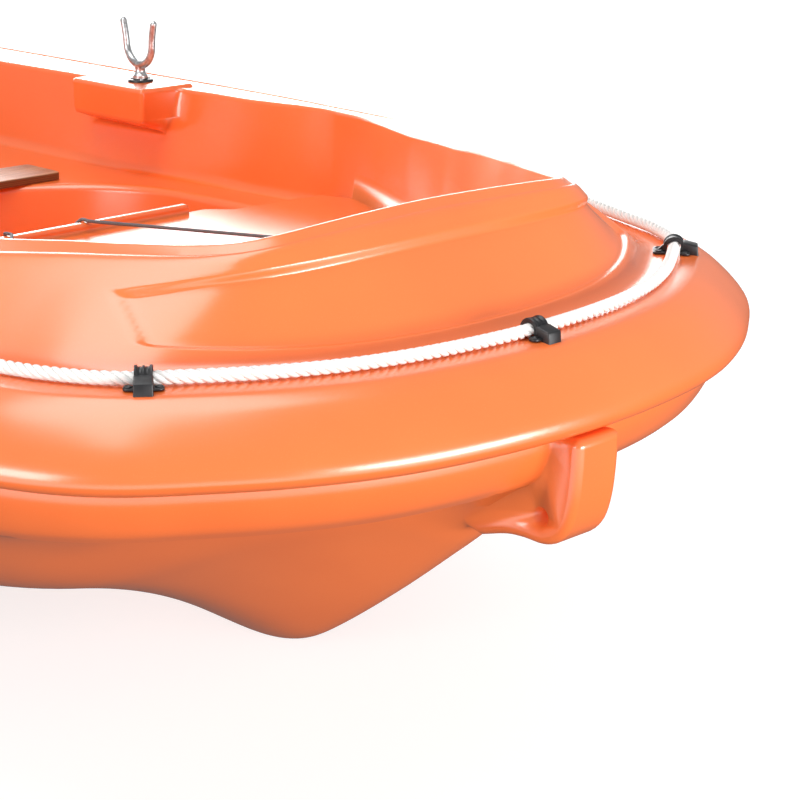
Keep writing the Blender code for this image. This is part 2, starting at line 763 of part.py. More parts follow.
def make_rowlock(name, side, finish):
    """A horned crutch that turns in its socket."""
    base = BOSS_TOP_Z + GAP + FLANGE_T + GAP
    middle = rowlock_place(side, 0.0)
    outline = [(0.0, base - 0.050), (PIN_R - 0.001, base - 0.050), (PIN_R, base - 0.048), (PIN_R, base),
               (0.0115, base), (0.0115, base + 0.006), (0.0075, base + 0.010),
               (0.0075, base + 0.024), (0.0, base + 0.024)]
    shaft = turned(name, middle, outline, 16, finish)
    bow_r, bow_z = 0.032, base + 0.054
    path = [Vector((middle[0], middle[1] - 0.038, bow_z + 0.036)),
            Vector((middle[0], middle[1] - 0.034, bow_z + 0.018))]
    path += [Vector((middle[0], middle[1] - bow_r * math.cos(math.radians(a)),
                     bow_z - bow_r * math.sin(math.radians(a)))) for a in range(0, 181, 15)]
    path += [Vector((middle[0], middle[1] + 0.034, bow_z + 0.018)),
             Vector((middle[0], middle[1] + 0.038, bow_z + 0.036))]
    boolean(shaft, tube("horn_tool", path, 0.0058, 12, None), "UNION")
    return shaft


# Fittings

def make_board(finish):
    """The wooden board across the fore well's after edge."""
    half, front, width, thick = BOARD
    low = place(-half, front, BENCH_Z + GAP)
    high = place(half, front + width, BENCH_Z + GAP + thick)
    return bar("thwart_board", low, high, 0.0015, finish)


BOARD = (0.355, 1.309, 0.090, 0.012)
PAD_OUTER = (0.140, 2.9275, 0.0147, 0.180, 0.445)   # half-width, front face, thickness, foot, top
PAD_INNER = (2, 0.86, 0.12, 0.008)           # columns each side, shares of the wall, thickness
DRAIN = (0.180, 2.9240, 0.190)


def make_outer_pad(finish):
    half, front, thick, foot, top = PAD_OUTER
    return bar("transom_pad_outer", place(-half, front, foot), place(half, front + thick, top), 0.003,
               finish)


def make_inner_pad(finish):
    """The plate inside the transom's top, shaped to the wall behind it."""
    across, low, high, thick = PAD_INNER
    stations = [STATIONS - step / STEPS for step in range(across, -1, -1)]
    count = 4
    shares = [mix(low, high, step / count) for step in range(count + 1)]
    shape = bmesh.new()
    layers = []
    for away in (FIT_GAP, FIT_GAP + thick):
        rows = []
        for share in shares:
            points = [inner_wall(station, share) - Vector((0.0, away, 0.0)) for station in stations]
            points[-1][0] = 0.0
            points += [mirrored(point) for point in reversed(points[:-1])]
            rows.append([shape.verts.new(point) for point in points])
        layers.append(rows)
    for rows in layers:
        for lower, upper in zip(rows, rows[1:]):
            for step in range(len(lower) - 1):
                shape.faces.new((lower[step], lower[step + 1], upper[step + 1], upper[step]))
    border = [[row[0] for row in rows] + rows[-1][1:] + [row[-1] for row in reversed(rows[:-1])]
              + list(reversed(rows[0][1:-1])) for rows in layers]
    for step in range(len(border[0])):
        ahead = (step + 1) % len(border[0])
        shape.faces.new((border[0][step], border[0][ahead], border[1][ahead], border[1][step]))
    bmesh.ops.recalc_face_normals(shape, faces=shape.faces)
    return object_from("transom_pad_inner", shape, finish)


def lying(made, centre):
    """Turn an upright piece made about the origin to point aft, and put it at centre."""
    turn = Matrix.Rotation(math.radians(-90.0), 4, "X")
    made.data.transform(Matrix.Translation(centre) @ turn)
    return made


def make_drain(finish):
    """The drain socket in the transom and the plug screwed into it."""
    origin = Vector((0.0, 0.0, 0.0))
    place_at = place(*DRAIN)
    flange = turned("drain_flange", origin, [(0.0125, 0.0), (0.030, 0.0), (0.030, 0.003),
                                             (0.027, 0.005), (0.0125, 0.005)], 24, finish)
    lying(flange, place_at)
    plug = turned("drain_plug", origin, [(0.0, 0.001), (0.0120, 0.001), (0.0120, 0.0053),
                                         (0.0180, 0.0053), (0.0180, 0.0120), (0.0165, 0.0140),
                                         (0.0, 0.0140)], 16, finish)
    lying(plug, place_at)


# Elastic cords over the bow deck

ELASTIC_R = 0.0023
ELASTIC_HOOK = (0.318, 0.500)                # half-breadth and distance aft of a hook on the deck
ELASTIC_BEAD = {"port": 0.100, "starboard": -0.020}   # where each cord crosses the bead
ELASTIC_ANCHOR = (0.040, 0.9195, 0.336)       # middle, front face and foot of the well's anchor
ANCHOR_SIZE = (0.032, 0.008, 0.015)


def make_hook(name, side, finish):
    """A mushroom hook on the bow deck, for one elastic cord."""
    half, aft = ELASTIC_HOOK
    foot = BOW_DECK_Z + GAP
    outline = [(0.0, foot), (0.0110, foot), (0.0110, foot + 0.002), (0.0050, foot + 0.0032),
               (0.0050, foot + 0.0095), (0.0105, foot + 0.0110), (0.0090, foot + 0.0145),
               (0.0, foot + 0.0155)]
    return turned(name, place(side * half, aft, 0.0), outline, 16, finish)


def make_anchor(finish):
    """The block on the well's front wall that both cords pull on."""
    middle, front, foot = ELASTIC_ANCHOR
    width, depth, height = ANCHOR_SIZE
    low = place(middle - width / 2, front, foot)
    high = place(middle + width / 2, front + depth, foot + height)
    return bar("elastic_anchor", low, high, 0.002, finish)


def make_elastic(name, side, crossing, finish):
    """One cord: up from the anchor, over the bead and forward to its hook."""
    middle, front, foot = ELASTIC_ANCHOR
    _, depth, height = ANCHOR_SIZE
    half, bead_front, bead_back, bead_top = BEAD
    over = bead_top + ELASTIC_R + GAP
    hook = place(side * ELASTIC_HOOK[0], ELASTIC_HOOK[1], BOW_DECK_Z + 0.0067)
    near = place(crossing, bead_front, over)
    toward = (near - hook).normalized()
    start = place(middle + side * 0.008, front + depth * 0.6, foot + height + ELASTIC_R)
    path = [start, place(mix(middle, crossing, 0.55), bead_back + 0.0100, bead_top - 0.026),
            place(mix(middle, crossing, 0.90), bead_back + 0.0045, bead_top - 0.004),
            place(crossing, bead_back - 0.001, over - 0.0004), near]
    path += [near.lerp(hook, share) for share in (0.25, 0.5, 0.75)]
    path.append(hook + toward * (0.0050 + GAP))
    return tube(name, path, ELASTIC_R, 8, finish)


def make_stern_handle(name, side, finish):
    """A grab handle on the coaming's flat top near the quarter."""
    ends = [rim_at(station) for station in (15.30, 15.75)]
    front, back = (place(side * (end[0] - 0.045), end[1], end[2] + GAP) for end in ends)
    rise = Vector((0.0, 0.0, 0.034))
    along = (back - front).normalized()
    path = [front, front + rise * 0.45, front + rise * 0.8 + along * 0.006,
            front + rise + along * 0.018, back + rise - along * 0.018,
            back + rise * 0.8 - along * 0.006, back + rise * 0.45, back]
    handle = tube(name, path, 0.0065, 10, finish)
    return handle


def main():
    clear_scene()
    orange = material("orange_polyethylene", ORANGE, 0.32)
    white = material("white_rope", WHITE, 0.75)
    black = material("black_plastic", BLACK, 0.42)
    timber = material("varnished_board", TIMBER, 0.40)
    steel = material("galvanised_steel", STEEL, 0.35, 1.0)
    grey = material("grey_elastic", GREY, 0.80)
    make_hull(orange)
    make_deck(orange)
    make_lifeline(white)
    make_clips(black)
    for side, word in ((1, "port"), (-1, "starboard")):
        make_rowlock_socket(f"rowlock_socket_{word}", side, black)
        make_rowlock(f"rowlock_{word}", side, steel)
        make_stern_handle(f"stern_handle_{word}", side, black)
        make_knot(f"lifeline_knot_{word}", side, white)
        make_hook(f"elastic_hook_{word}", side, black)
        make_elastic(f"elastic_{word}", side, ELASTIC_BEAD[word], grey)
    make_anchor(black)
    make_board(timber)
    make_outer_pad(black)
    make_inner_pad(black)
    make_drain(black)


main()
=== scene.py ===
"""The dressed model of a foam-filled, rotationally moulded dinghy.

Metres, +Z up, the bow towards -Y and starboard at -X. Places are mostly given as
(half-breadth, distance aft of the bow clip, height), which place() turns into world
points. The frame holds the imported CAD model; each piece here stands for one or more of
its nodes and rides on its body.
"""

import math

import bmesh
import bpy
from bpy.props import (FloatProperty, FloatVectorProperty, IntProperty, PointerProperty)
from mathutils import Matrix, Vector


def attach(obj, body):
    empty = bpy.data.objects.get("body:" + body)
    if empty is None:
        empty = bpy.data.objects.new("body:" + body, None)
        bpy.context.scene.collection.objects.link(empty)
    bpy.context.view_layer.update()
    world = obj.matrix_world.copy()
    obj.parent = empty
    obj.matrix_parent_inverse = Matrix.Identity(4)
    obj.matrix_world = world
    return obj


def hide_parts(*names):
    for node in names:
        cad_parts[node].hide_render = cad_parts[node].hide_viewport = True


bl_info = {
    "name": "Moulded dinghy",
    "version": (1, 0, 0),
    "blender": (4, 5, 0),
    "location": "3D View > Sidebar > Dinghy",
    "description": "Builds a moulded dinghy's skins, rope, fittings and stage round its CAD frame",
    "category": "Object",
}

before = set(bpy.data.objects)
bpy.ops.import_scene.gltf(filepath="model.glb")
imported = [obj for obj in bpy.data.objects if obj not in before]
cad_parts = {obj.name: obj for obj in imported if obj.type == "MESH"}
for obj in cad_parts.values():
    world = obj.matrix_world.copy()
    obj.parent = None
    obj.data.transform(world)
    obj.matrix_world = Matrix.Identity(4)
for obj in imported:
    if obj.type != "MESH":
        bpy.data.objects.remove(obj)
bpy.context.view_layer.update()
BOAT = "boat"
SIDES = ((1, "port"), (-1, "starboard"))

# Driving places, as in the part's source
BOW_CLIP_Y = -1.4271
ROPE_Z = 0.4546
PARTING_Z = 0.3655
REBATE_Z = 0.345
REBATE_OUT = -0.011
FENDER_Z = 0.447
BENCH_Z = 0.366
BOW_DECK_Z = 0.392
FLOOR_Z = 0.150
WALL = 0.014
GAP = 0.0003
FIT_GAP = 0.002              # between a well's wall and its pocket, and behind the inner pad

# Stations run from the stem (0) round the port side to the stern (20).
# Lifeline, in plan: half-breadth, distance aft
ROPE_LINE = (
    (0.000, 0.002), (0.110, 0.010), (0.200, 0.030), (0.275, 0.063), (0.341, 0.105),
    (0.400, 0.152), (0.436, 0.210), (0.461, 0.280), (0.510, 0.420), (0.572, 0.610),
    (0.612, 0.775), (0.630, 0.880), (0.655, 1.110), (0.666, 1.450), (0.664, 1.900),
    (0.650, 2.350), (0.626, 2.700), (0.592, 2.845), (0.510, 2.908), (0.300, 2.922),
    (0.000, 2.923))
# Top of the coaming, its outer edge: half-breadth, distance aft, height
RIM_LINE = (
    (0.000, 0.150, 0.563), (0.085, 0.148, 0.562), (0.150, 0.147, 0.560), (0.200, 0.150, 0.557),
    (0.236, 0.168, 0.552), (0.262, 0.208, 0.547), (0.292, 0.265, 0.543), (0.328, 0.335, 0.539),
    (0.402, 0.478, 0.528), (0.495, 0.630, 0.517), (0.548, 0.780, 0.510), (0.566, 0.880, 0.507),
    (0.592, 1.100, 0.503), (0.602, 1.450, 0.500), (0.600, 1.900, 0.500), (0.586, 2.350, 0.500),
    (0.560, 2.660, 0.500), (0.515, 2.775, 0.498), (0.420, 2.832, 0.490), (0.235, 2.888, 0.466),
    (0.000, 2.898, 0.458))
# Width of the coaming's flat top
RIM_WIDTHS = (0.012, 0.012, 0.012, 0.012, 0.012, 0.013, 0.016, 0.022, 0.032, 0.058, 0.045, 0.045,
              0.082, 0.118, 0.132, 0.126, 0.112, 0.085, 0.060, 0.034, 0.034)
# Foot of the cockpit's wall, in plan
WALL_FOOT_LINE = (
    (0.000, 0.188), (0.080, 0.187), (0.138, 0.189), (0.183, 0.197), (0.214, 0.219),
    (0.238, 0.262), (0.263, 0.322), (0.295, 0.395), (0.352, 0.510), (0.420, 0.640),
    (0.492, 0.795), (0.513, 0.870), (0.500, 1.080), (0.470, 1.400), (0.455, 1.850),
    (0.447, 2.300), (0.430, 2.570), (0.395, 2.670), (0.335, 2.745), (0.205, 2.842),
    (0.000, 2.860))
# Keel, on the centreline: distance aft, height
KEEL_LINE = (
    (-0.060, 0.262), (0.000, 0.245), (0.044, 0.233), (0.073, 0.216), (0.102, 0.193),
    (0.193, 0.120), (0.291, 0.048), (0.345, 0.016), (0.400, 0.0015), (0.480, 0.0), (3.000, 0.0))
# Bottom of a side runner: distance aft, half-breadth, height
RUNNER_LINE = (
    (0.000, 0.240, 0.330), (0.150, 0.330, 0.300), (0.370, 0.410, 0.200), (0.600, 0.455, 0.095),
    (0.900, 0.490, 0.024), (1.250, 0.505, 0.0), (2.300, 0.500, 0.0), (3.000, 0.480, 0.0))
STATIONS = len(ROPE_LINE) - 1
COLUMNS = 9                  # columns of faces between two stations


# Numbers and curves

def place(half_breadth, aft, height):
    """A world point from the boat's own measures; port is positive."""
    return Vector((half_breadth, BOW_CLIP_Y + aft, height))


def mix(low, high, share):
    return low + (high - low) * share


def smooth_step(value):
    value = min(max(value, 0.0), 1.0)
    return value * value * (3.0 - 2.0 * value)


def hermite(before, start, end, after, share):
    """Cubic through start and end whose slopes come from the neighbours' chords."""
    span = (end - start).length
    back = (start - before).length
    ahead = (after - end).length
    slope_start = (end - before) / (span + back) * span
    slope_end = (after - start) / (span + ahead) * span
    s2 = share * share
    s3 = s2 * share
    return (start * (2 * s3 - 3 * s2 + 1) + slope_start * (s3 - 2 * s2 + share)
            + end * (3 * s2 - 2 * s3) + slope_end * (s3 - s2))


def mirrored(point):
    return Vector((-point[0], *point[1:]))


def station_line(points):
    """A smooth curve over the stations, symmetric at the stem and at the stern."""
    knots = [Vector(point) for point in points]
    ring = [mirrored(knots[1])] + knots + [mirrored(knots[-2])]

    def at(station):
        start = min(int(station), STATIONS - 1)
        return hermite(*ring[start:start + 4], station - start)
    return at


def profile(points):
    """Values over the distance aft, on a smooth curve through the points."""
    knots = [Vector(point) for point in points]
    ring = [knots[0] * 2 - knots[1]] + knots + [knots[-1] * 2 - knots[-2]]

    def at(aft):
        start = 0
        while start < len(knots) - 2 and knots[start + 1][0] < aft:
            start += 1
        low, high = 0.0, 1.0
        for _ in range(24):
            middle = (low + high) / 2
            if hermite(*ring[start:start + 4], middle)[0] < aft:
                low = middle
            else:
                high = middle
        return hermite(*ring[start:start + 4], low)[1:]
    return at


def refined(points, steps):
    """More points on a smooth curve through the given ones."""
    knots = [Vector(point) for point in points]
    ring = [knots[0] * 2 - knots[1]] + knots + [knots[-1] * 2 - knots[-2]]
    line = [tuple(hermite(*ring[start:start + 4], step / steps))
            for start in range(len(knots) - 1) for step in range(steps)]
    return line + [tuple(knots[-1])]


rope_at = station_line(ROPE_LINE)
rim_at = station_line(RIM_LINE)
wall_foot_at = station_line(WALL_FOOT_LINE)
keel_at = profile(KEEL_LINE)
runner_at = profile(RUNNER_LINE)


def outward(station):
    """Unit normal of the lifeline in plan, pointing overboard."""
    step = 0.01
    if station < step:
        return Vector((0.0, -1.0))
    if station > STATIONS - step:
        return Vector((0.0, 1.0))
    along = (rope_at(station + step) - rope_at(station - step)).normalized()
    return Vector((along[1], -along[0]))


def beside_rope(station, out, height):
    point = rope_at(station) + outward(station) * out
    return place(point[0], point[1], height)


def full_ring(point_at):
    """Port points from stem to stern, then their mirror images back to the stem."""
    port = [point_at(index / COLUMNS) for index in range(STATIONS * COLUMNS + 1)]
    port[0][0] = 0.0
    port[-1][0] = 0.0
    return port + [mirrored(point) for point in reversed(port[1:-1])]


# Meshes

def object_from(name, shape, finish, smooth_deg=35.0):
    """Make a bmesh a shaded object at the origin."""
    mesh = bpy.data.meshes.new(name)
    shape.to_mesh(mesh)
    shape.free()
    mesh.shade_smooth()
    mesh.set_sharp_from_angle(angle=math.radians(smooth_deg))
    made = bpy.data.objects.new(name, mesh)
    bpy.context.scene.collection.objects.link(made)
    if finish is not None:
        mesh.materials.append(finish)
    return made


def solid_from_rings(name, rings, finish):
    """Quads between closed rings; the first ring is capped, the last one is welded shut."""
    shape = bmesh.new()
    rows = [[shape.verts.new(point) for point in ring] for ring in rings]
    for lower, upper in zip(rows, rows[1:]):
        for index in range(len(lower)):
            ahead = (index + 1) % len(lower)
            shape.faces.new((lower[index], lower[ahead], upper[ahead], upper[index]))
    shape.faces.new(rows[0])
    bmesh.ops.remove_doubles(shape, verts=shape.verts, dist=1e-5)
    bmesh.ops.dissolve_degenerate(shape, edges=shape.edges, dist=1e-6)
    bmesh.ops.recalc_face_normals(shape, faces=shape.faces)
    return object_from(name, shape, finish)


def stacked(name, levels, finish=None):
    """Close a stack of plan outlines, [(points, z)], into one solid."""
    shape = bmesh.new()
    rows = [[shape.verts.new((point[0], point[1], height)) for point in outline]
            for outline, height in levels]
    for lower, upper in zip(rows, rows[1:]):
        for index in range(len(lower)):
            ahead = (index + 1) % len(lower)
            shape.faces.new((lower[index], lower[ahead], upper[ahead], upper[index]))
    shape.faces.new(rows[0])
    shape.faces.new(rows[-1])
    bmesh.ops.recalc_face_normals(shape, faces=shape.faces)
    return object_from(name, shape, finish)


def evaluated_mesh(made):
    """The object's mesh with its modifiers applied."""
    graph = bpy.context.evaluated_depsgraph_get()
    return bpy.data.meshes.new_from_object(made.evaluated_get(graph), preserve_all_data_layers=True,
                                           depsgraph=graph)


def apply_modifiers(made):
    """Turn what the modifiers make into the object's plain mesh."""
    mesh = evaluated_mesh(made)
    made.modifiers.clear()
    made.data = mesh


def boolean(target, tool, operation):
    """Apply one exact Boolean and drop the tool."""
    step = target.modifiers.new(operation.lower(), "BOOLEAN")
    step.operation = operation
    step.object = tool
    step.solver = "EXACT"
    apply_modifiers(target)
    bpy.data.objects.remove(tool)


def rounded(made, width, segments=3, limit_deg=40.0):
    """Round the sharp edges and keep the flats flat."""
    edges = made.modifiers.new("rounding", "BEVEL")
    edges.width = width
    edges.segments = segments
    edges.limit_method = "ANGLE"
    edges.angle_limit = math.radians(limit_deg)
    edges.use_clamp_overlap = True
    flats = made.modifiers.new("flats", "WEIGHTED_NORMAL")
    flats.keep_sharp = True
    apply_modifiers(made)
    return made


def rounded_outline(corners, steps=16):
    """Plan points of a polygon whose corners, (x, y, radius), are arcs."""
    points = []
    count = len(corners)
    for index, (x, y, radius) in enumerate(corners):
        here = Vector((x, y))
        before = Vector(corners[index - 1][:2])
        after = Vector(corners[(index + 1) % count][:2])
        into = (here - before).normalized()
        away = (after - here).normalized()
        turn = into.angle_signed(away)
        start = here - into * radius * math.tan(abs(turn) / 2)
        centre = start + Vector((-into[1], into[0])) * (-radius if turn > 0 else radius)
        for step in range(steps + 1):
            points.append(centre + Matrix.Rotation(-turn * step / steps, 2) @ (start - centre))
    return points


def bar(name, low, high, bevel, finish=None, segments=2):
    """A block between two corners with rounded edges."""
    shape = bmesh.new()
    bmesh.ops.create_cube(shape, size=1.0)
    size = high - low
    for vert in shape.verts:
        vert.co = low + Vector((size[axis] * (vert.co[axis] + 0.5) for axis in range(3)))
    if bevel:
        bmesh.ops.bevel(shape, geom=shape.edges[:], offset=bevel, segments=segments, profile=0.5,
                        affect="EDGES")
    return object_from(name, shape, finish)


def turned(name, centre, outline, sides, finish):
    """Turn a closed (radius, z) outline round the upright axis through centre."""
    shape = bmesh.new()
    rows = []
    for radius, height in outline:
        if radius < 1e-6:
            rows.append([shape.verts.new((centre[0], centre[1], height))] * sides)
            continue
        rows.append([shape.verts.new((centre[0] + radius * math.cos(math.tau * step / sides),
                                      centre[1] + radius * math.sin(math.tau * step / sides), height))
                     for step in range(sides)])
    for index, lower in enumerate(rows):
        upper = rows[(index + 1) % len(rows)]
        if lower[0] is lower[1] and upper[0] is upper[1]:
            continue
        for step in range(sides):
            ahead = (step + 1) % sides
            corners = []
            for corner in (lower[step], lower[ahead], upper[ahead], upper[step]):
                if corner not in corners:
                    corners.append(corner)
            shape.faces.new(corners)
    bmesh.ops.recalc_face_normals(shape, faces=shape.faces)
    return object_from(name, shape, finish)


def tube(name, path, radii, sides, finish):
    """A round bar along a smooth path; radii is one number or one for each point."""
    if not isinstance(radii, tuple):
        radii = (radii,) * len(path)
    shape = bmesh.new()
    count = len(path)
    side_way = None
    rows = []
    for index, point in enumerate(path):
        along = (path[min(index + 1, count - 1)] - path[max(index - 1, 0)]).normalized()
        if side_way is None:
            up = Vector((0.0, 0.0, 1.0)) if abs(along[2]) < 0.9 else Vector((1.0, 0.0, 0.0))
            side_way = along.cross(up).normalized()
        side_way = (side_way - along * along.dot(side_way)).normalized()
        up_way = along.cross(side_way)
        rows.append([shape.verts.new(point + (side_way * math.cos(math.tau * step / sides)
                                              + up_way * math.sin(math.tau * step / sides))
                                     * radii[index])
                     for step in range(sides)])
    for lower, upper in zip(rows, rows[1:]):
        for step in range(sides):
            ahead = (step + 1) % sides
            shape.faces.new((lower[step], lower[ahead], upper[ahead], upper[step]))
    shape.faces.new(rows[0])
    shape.faces.new(rows[-1])
    bmesh.ops.recalc_face_normals(shape, faces=shape.faces)
    return object_from(name, shape, finish)


def smooth_path(points, steps):
    """A finer path on a smooth curve through the points."""
    return [Vector(point) for point in refined(points, steps)]


def join(name, pieces):
    """One object from several, with their materials."""
    shape = bmesh.new()
    finishes = []
    for piece in pieces:
        start = len(shape.faces)
        shape.from_mesh(piece.data)
        finish = piece.data.materials[0]
        if finish not in finishes:
            finishes.append(finish)
        shape.faces.ensure_lookup_table()
        for face in shape.faces[start:]:
            face.material_index = finishes.index(finish)
        bpy.data.objects.remove(piece)
    made = object_from(name, shape, None)
    for finish in finishes:
        made.data.materials.append(finish)
    return made


def settle(piece, slot, *nodes, body=BOAT):
    """Give a finished piece its body and hide the nodes that it stands for; slot is not used."""
    if not piece.data.polygons:
        raise RuntimeError(f"{piece.name} has no faces")
    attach(piece, body)
    if nodes:
        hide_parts(*nodes)
    return piece


# Materials

class Value:
    """A node's output; arithmetic on it adds Math nodes."""

    def __init__(self, graph, socket):
        self.graph = graph
        self.socket = socket

    def math(self, operation, *values):
        return self.graph.node("ShaderNodeMath", {"operation": operation},
                               dict(enumerate(values)))["Value"]

    def __add__(self, other):
        return self.math("ADD", self, other)

    def __radd__(self, other):
        return self.math("ADD", other, self)

    def __sub__(self, other):
        return self.math("SUBTRACT", self, other)

    def __rsub__(self, other):
        return self.math("SUBTRACT", other, self)

    def __mul__(self, other):
        return self.math("MULTIPLY", self, other)

    def __rmul__(self, other):
        return self.math("MULTIPLY", other, self)

    def __truediv__(self, other):
        return self.math("DIVIDE", self, other)

    def sine(self):
        return self.math("SINE", self)

    def cosine(self):
        return self.math("COSINE", self)

    def size(self):
        return self.math("ABSOLUTE", self)


class Outputs:
    """A node's outputs, by name or by number."""

    def __init__(self, graph, made):
        self.graph = graph
        self.made = made

    def __getitem__(self, key):
        return Value(self.graph, self.made.outputs[key])


class Graph:
    """A node tree that grows by one method."""

    def __init__(self, tree):
        self.tree = tree

    def node(self, kind, settings=None, values=None):
        """Add a node: its settings first, then its sockets' values or links."""
        made = self.tree.nodes.new(kind)
        for key, setting in (settings or {}).items():
            setattr(made, key, setting)
        for key, value in (values or {}).items():
            self.put(made.inputs[key], value)
        return Outputs(self, made)

    def put(self, socket, value):
        if isinstance(value, Value):
            self.tree.links.new(value.socket, socket)
        elif socket.type == "RGBA":
            socket.default_value = (*value, 1.0)
        else:
            socket.default_value = value

    def vector(self, operation, *values):
        return self.node("ShaderNodeVectorMath", {"operation": operation}, dict(enumerate(values)))

    def parts(self, vector):
        """A vector's X, Y and Z."""
        return self.node("ShaderNodeSeparateXYZ", None, {"Vector": vector})


class Finish(Graph):
    """A material with one Principled shader."""

    def __init__(self, name):
        self.material = bpy.data.materials.new(name)
        self.material.use_nodes = True
        super().__init__(self.material.node_tree)
        self.shader = self.tree.nodes["Principled BSDF"]

    def shade(self, **values):
        """Set the shader's sockets; underscores stand for spaces."""
        for key, value in values.items():
            self.put(self.shader.inputs[key.replace("_", " ")], value)
        return self.material

    def places(self, scale=None):
        """Object coordinates, stretched where a scale is given."""
        where = self.node("ShaderNodeTexCoord")["Object"]
        if scale is None:
            return where
        return self.node("ShaderNodeMapping", None, {"Vector": where, "Scale": scale})["Vector"]

    def noise(self, where, scale, detail=2.0, roughness=0.5):
        return self.node("ShaderNodeTexNoise", None, {"Vector": where, "Scale": scale, "Detail": detail,
                                                      "Roughness": roughness})["Fac"]

    def blend(self, factor, low, high):
        """A colour between two others."""
        return self.node("ShaderNodeMix", {"data_type": "RGBA"}, {0: factor, 6: low, 7: high})[2]

    def band(self, value, low, high, out_low=0.0, out_high=1.0):
        """Stretch a value from one range to another, held at its ends."""
        return self.node("ShaderNodeMapRange", None, {
            "Value": value, "From Min": low, "From Max": high, "To Min": out_low,
            "To Max": out_high})["Result"]

    def bump(self, *layers):
        """Stack height layers, (height, distance), on each other."""
        normal = None
        for height, distance in layers:
            values = {"Height": height, "Distance": distance, "Strength": 1.0}
            if normal is not None:
                values["Normal"] = normal
            normal = self.node("ShaderNodeBump", None, values)["Normal"]
        return normal


def kept(make):
    """Make a material once, however many operators ask for it."""
    def finish():
        return bpy.data.materials.get(make.__name__) or make(Finish(make.__name__))
    return finish


LAY_NAME = "lay"             # attribute: length along the strand, angle round it
YARNS = 9.0
YARN_TWIST = 217.0           # radians a metre
BRAID_RATE = 2600.0
PLY = 0.0015


@kept
def orange_skin(made):
    """Moulded polyethylene: satin, faintly wavy, with a fine skin."""
    skin = bpy.context.scene.dinghy_skin
    where = made.places()
    patch = made.band(made.noise(where, 2.6, 3.0), 0.35, 0.65)
    grain = made.noise(where, 260.0)
    fleck = made.band(made.noise(where, 900.0, 1.0), 0.62, 0.74)
    colour = made.blend(patch, tuple(skin.deep_colour), tuple(skin.colour))
    colour = made.blend(fleck * 0.06, colour, (1.0, 0.45, 0.22))
    rough = skin.roughness + (made.noise(where, 5.0, 3.0) - 0.5) * 0.06 + (grain - 0.5) * 0.06
    wave = made.noise(where, 7.0)
    return made.shade(Base_Color=colour, Roughness=rough, Specular_IOR_Level=1.0,
                      Coat_Weight=0.3, Coat_Roughness=0.25,
                      Normal=made.bump((wave, skin.waviness), (grain, 0.00004)))


@kept
def black_moulding(made):
    """Satin black plastic with fine grain and a little dust."""
    where = made.places()
    grain = made.noise(where, 1400.0)
    dust = made.band(made.noise(where, 60.0, 4.0), 0.45, 0.75)
    colour = made.blend(dust * 0.35, (0.014, 0.014, 0.016), (0.045, 0.044, 0.045))
    return made.shade(Base_Color=colour, Roughness=0.36 + dust * 0.14 + (grain - 0.5) * 0.10,
                      Normal=made.bump((grain, 0.00004)))


@kept
def galvanised_bar(made):
    """Hot-dip zinc, with its spangle and cloudy dullness."""
    where = made.places()
    spangle = made.node("ShaderNodeTexVoronoi", None, {"Vector": where, "Scale": 260.0})["Color"]
    tone = made.node("ShaderNodeSeparateColor", None, {"Color": spangle})["Red"]
    cloud = made.noise(where, 40.0, 4.0)
    colour = made.blend(made.band(tone * 0.6 + cloud * 0.4, 0.2, 0.8), (0.46, 0.47, 0.48),
                        (0.70, 0.71, 0.72))
    return made.shade(Base_Color=colour, Roughness=0.30 + tone * 0.10 + (cloud - 0.5) * 0.16,
                      Metallic=1.0, Normal=made.bump((cloud, 0.00008)))


@kept
def screw_steel(made):
    """Bright stainless steel with turning marks too fine to see, so only its gloss varies."""
    cloud = made.noise(made.places(), 300.0, 3.0)
    colour = made.blend(cloud, (0.54, 0.54, 0.55), (0.68, 0.68, 0.69))
    return made.shade(Base_Color=colour, Roughness=0.22 + (cloud - 0.5) * 0.12, Metallic=1.0)


@kept
def rope_fibre(made):
    """White laid fibre: yarns wind round each strand, shade is painted into the grooves between them, and
    dirt lies in patches.
    """
    rope = bpy.context.scene.dinghy_rope
    lay = made.parts(made.node("ShaderNodeAttribute", {"attribute_name": LAY_NAME})["Vector"])
    along, around = lay["X"], lay["Y"]
    yarns = ((around + along * YARN_TWIST) * YARNS).sine() * 0.5 + 0.5
    fuzz = made.noise(made.places(), 1100.0, 3.0, 0.6)
    soil = made.band(made.noise(made.places(), 18.0, 4.0), 0.50, 0.75)
    colour = made.blend(soil * 0.18, tuple(rope.colour), (0.62, 0.60, 0.55))
    # Painted shade: the grooves between the yarns are darkened towards grey.
    colour = made.blend((1.0 - yarns) * 0.16, colour, (0.55, 0.54, 0.52))
    return made.shade(Base_Color=colour, Roughness=0.62 + fuzz * 0.25,
                      Normal=made.bump((yarns, 0.00018), (fuzz, 0.00010)))


@kept
def elastic_braid(made):
    """Grey braid: crossing ribs along the cord."""
    where = made.parts(made.places())
    ribs = (((where["X"] + where["Y"]) * BRAID_RATE).sine()
            * ((where["Y"] - where["X"]) * BRAID_RATE).sine())
    mask = made.band(ribs, -0.4, 0.6)
    return made.shade(Base_Color=made.blend(mask, (0.07, 0.07, 0.075), (0.24, 0.24, 0.25)),
                      Roughness=0.70 + mask * 0.12, Normal=made.bump((mask, 0.00015)))


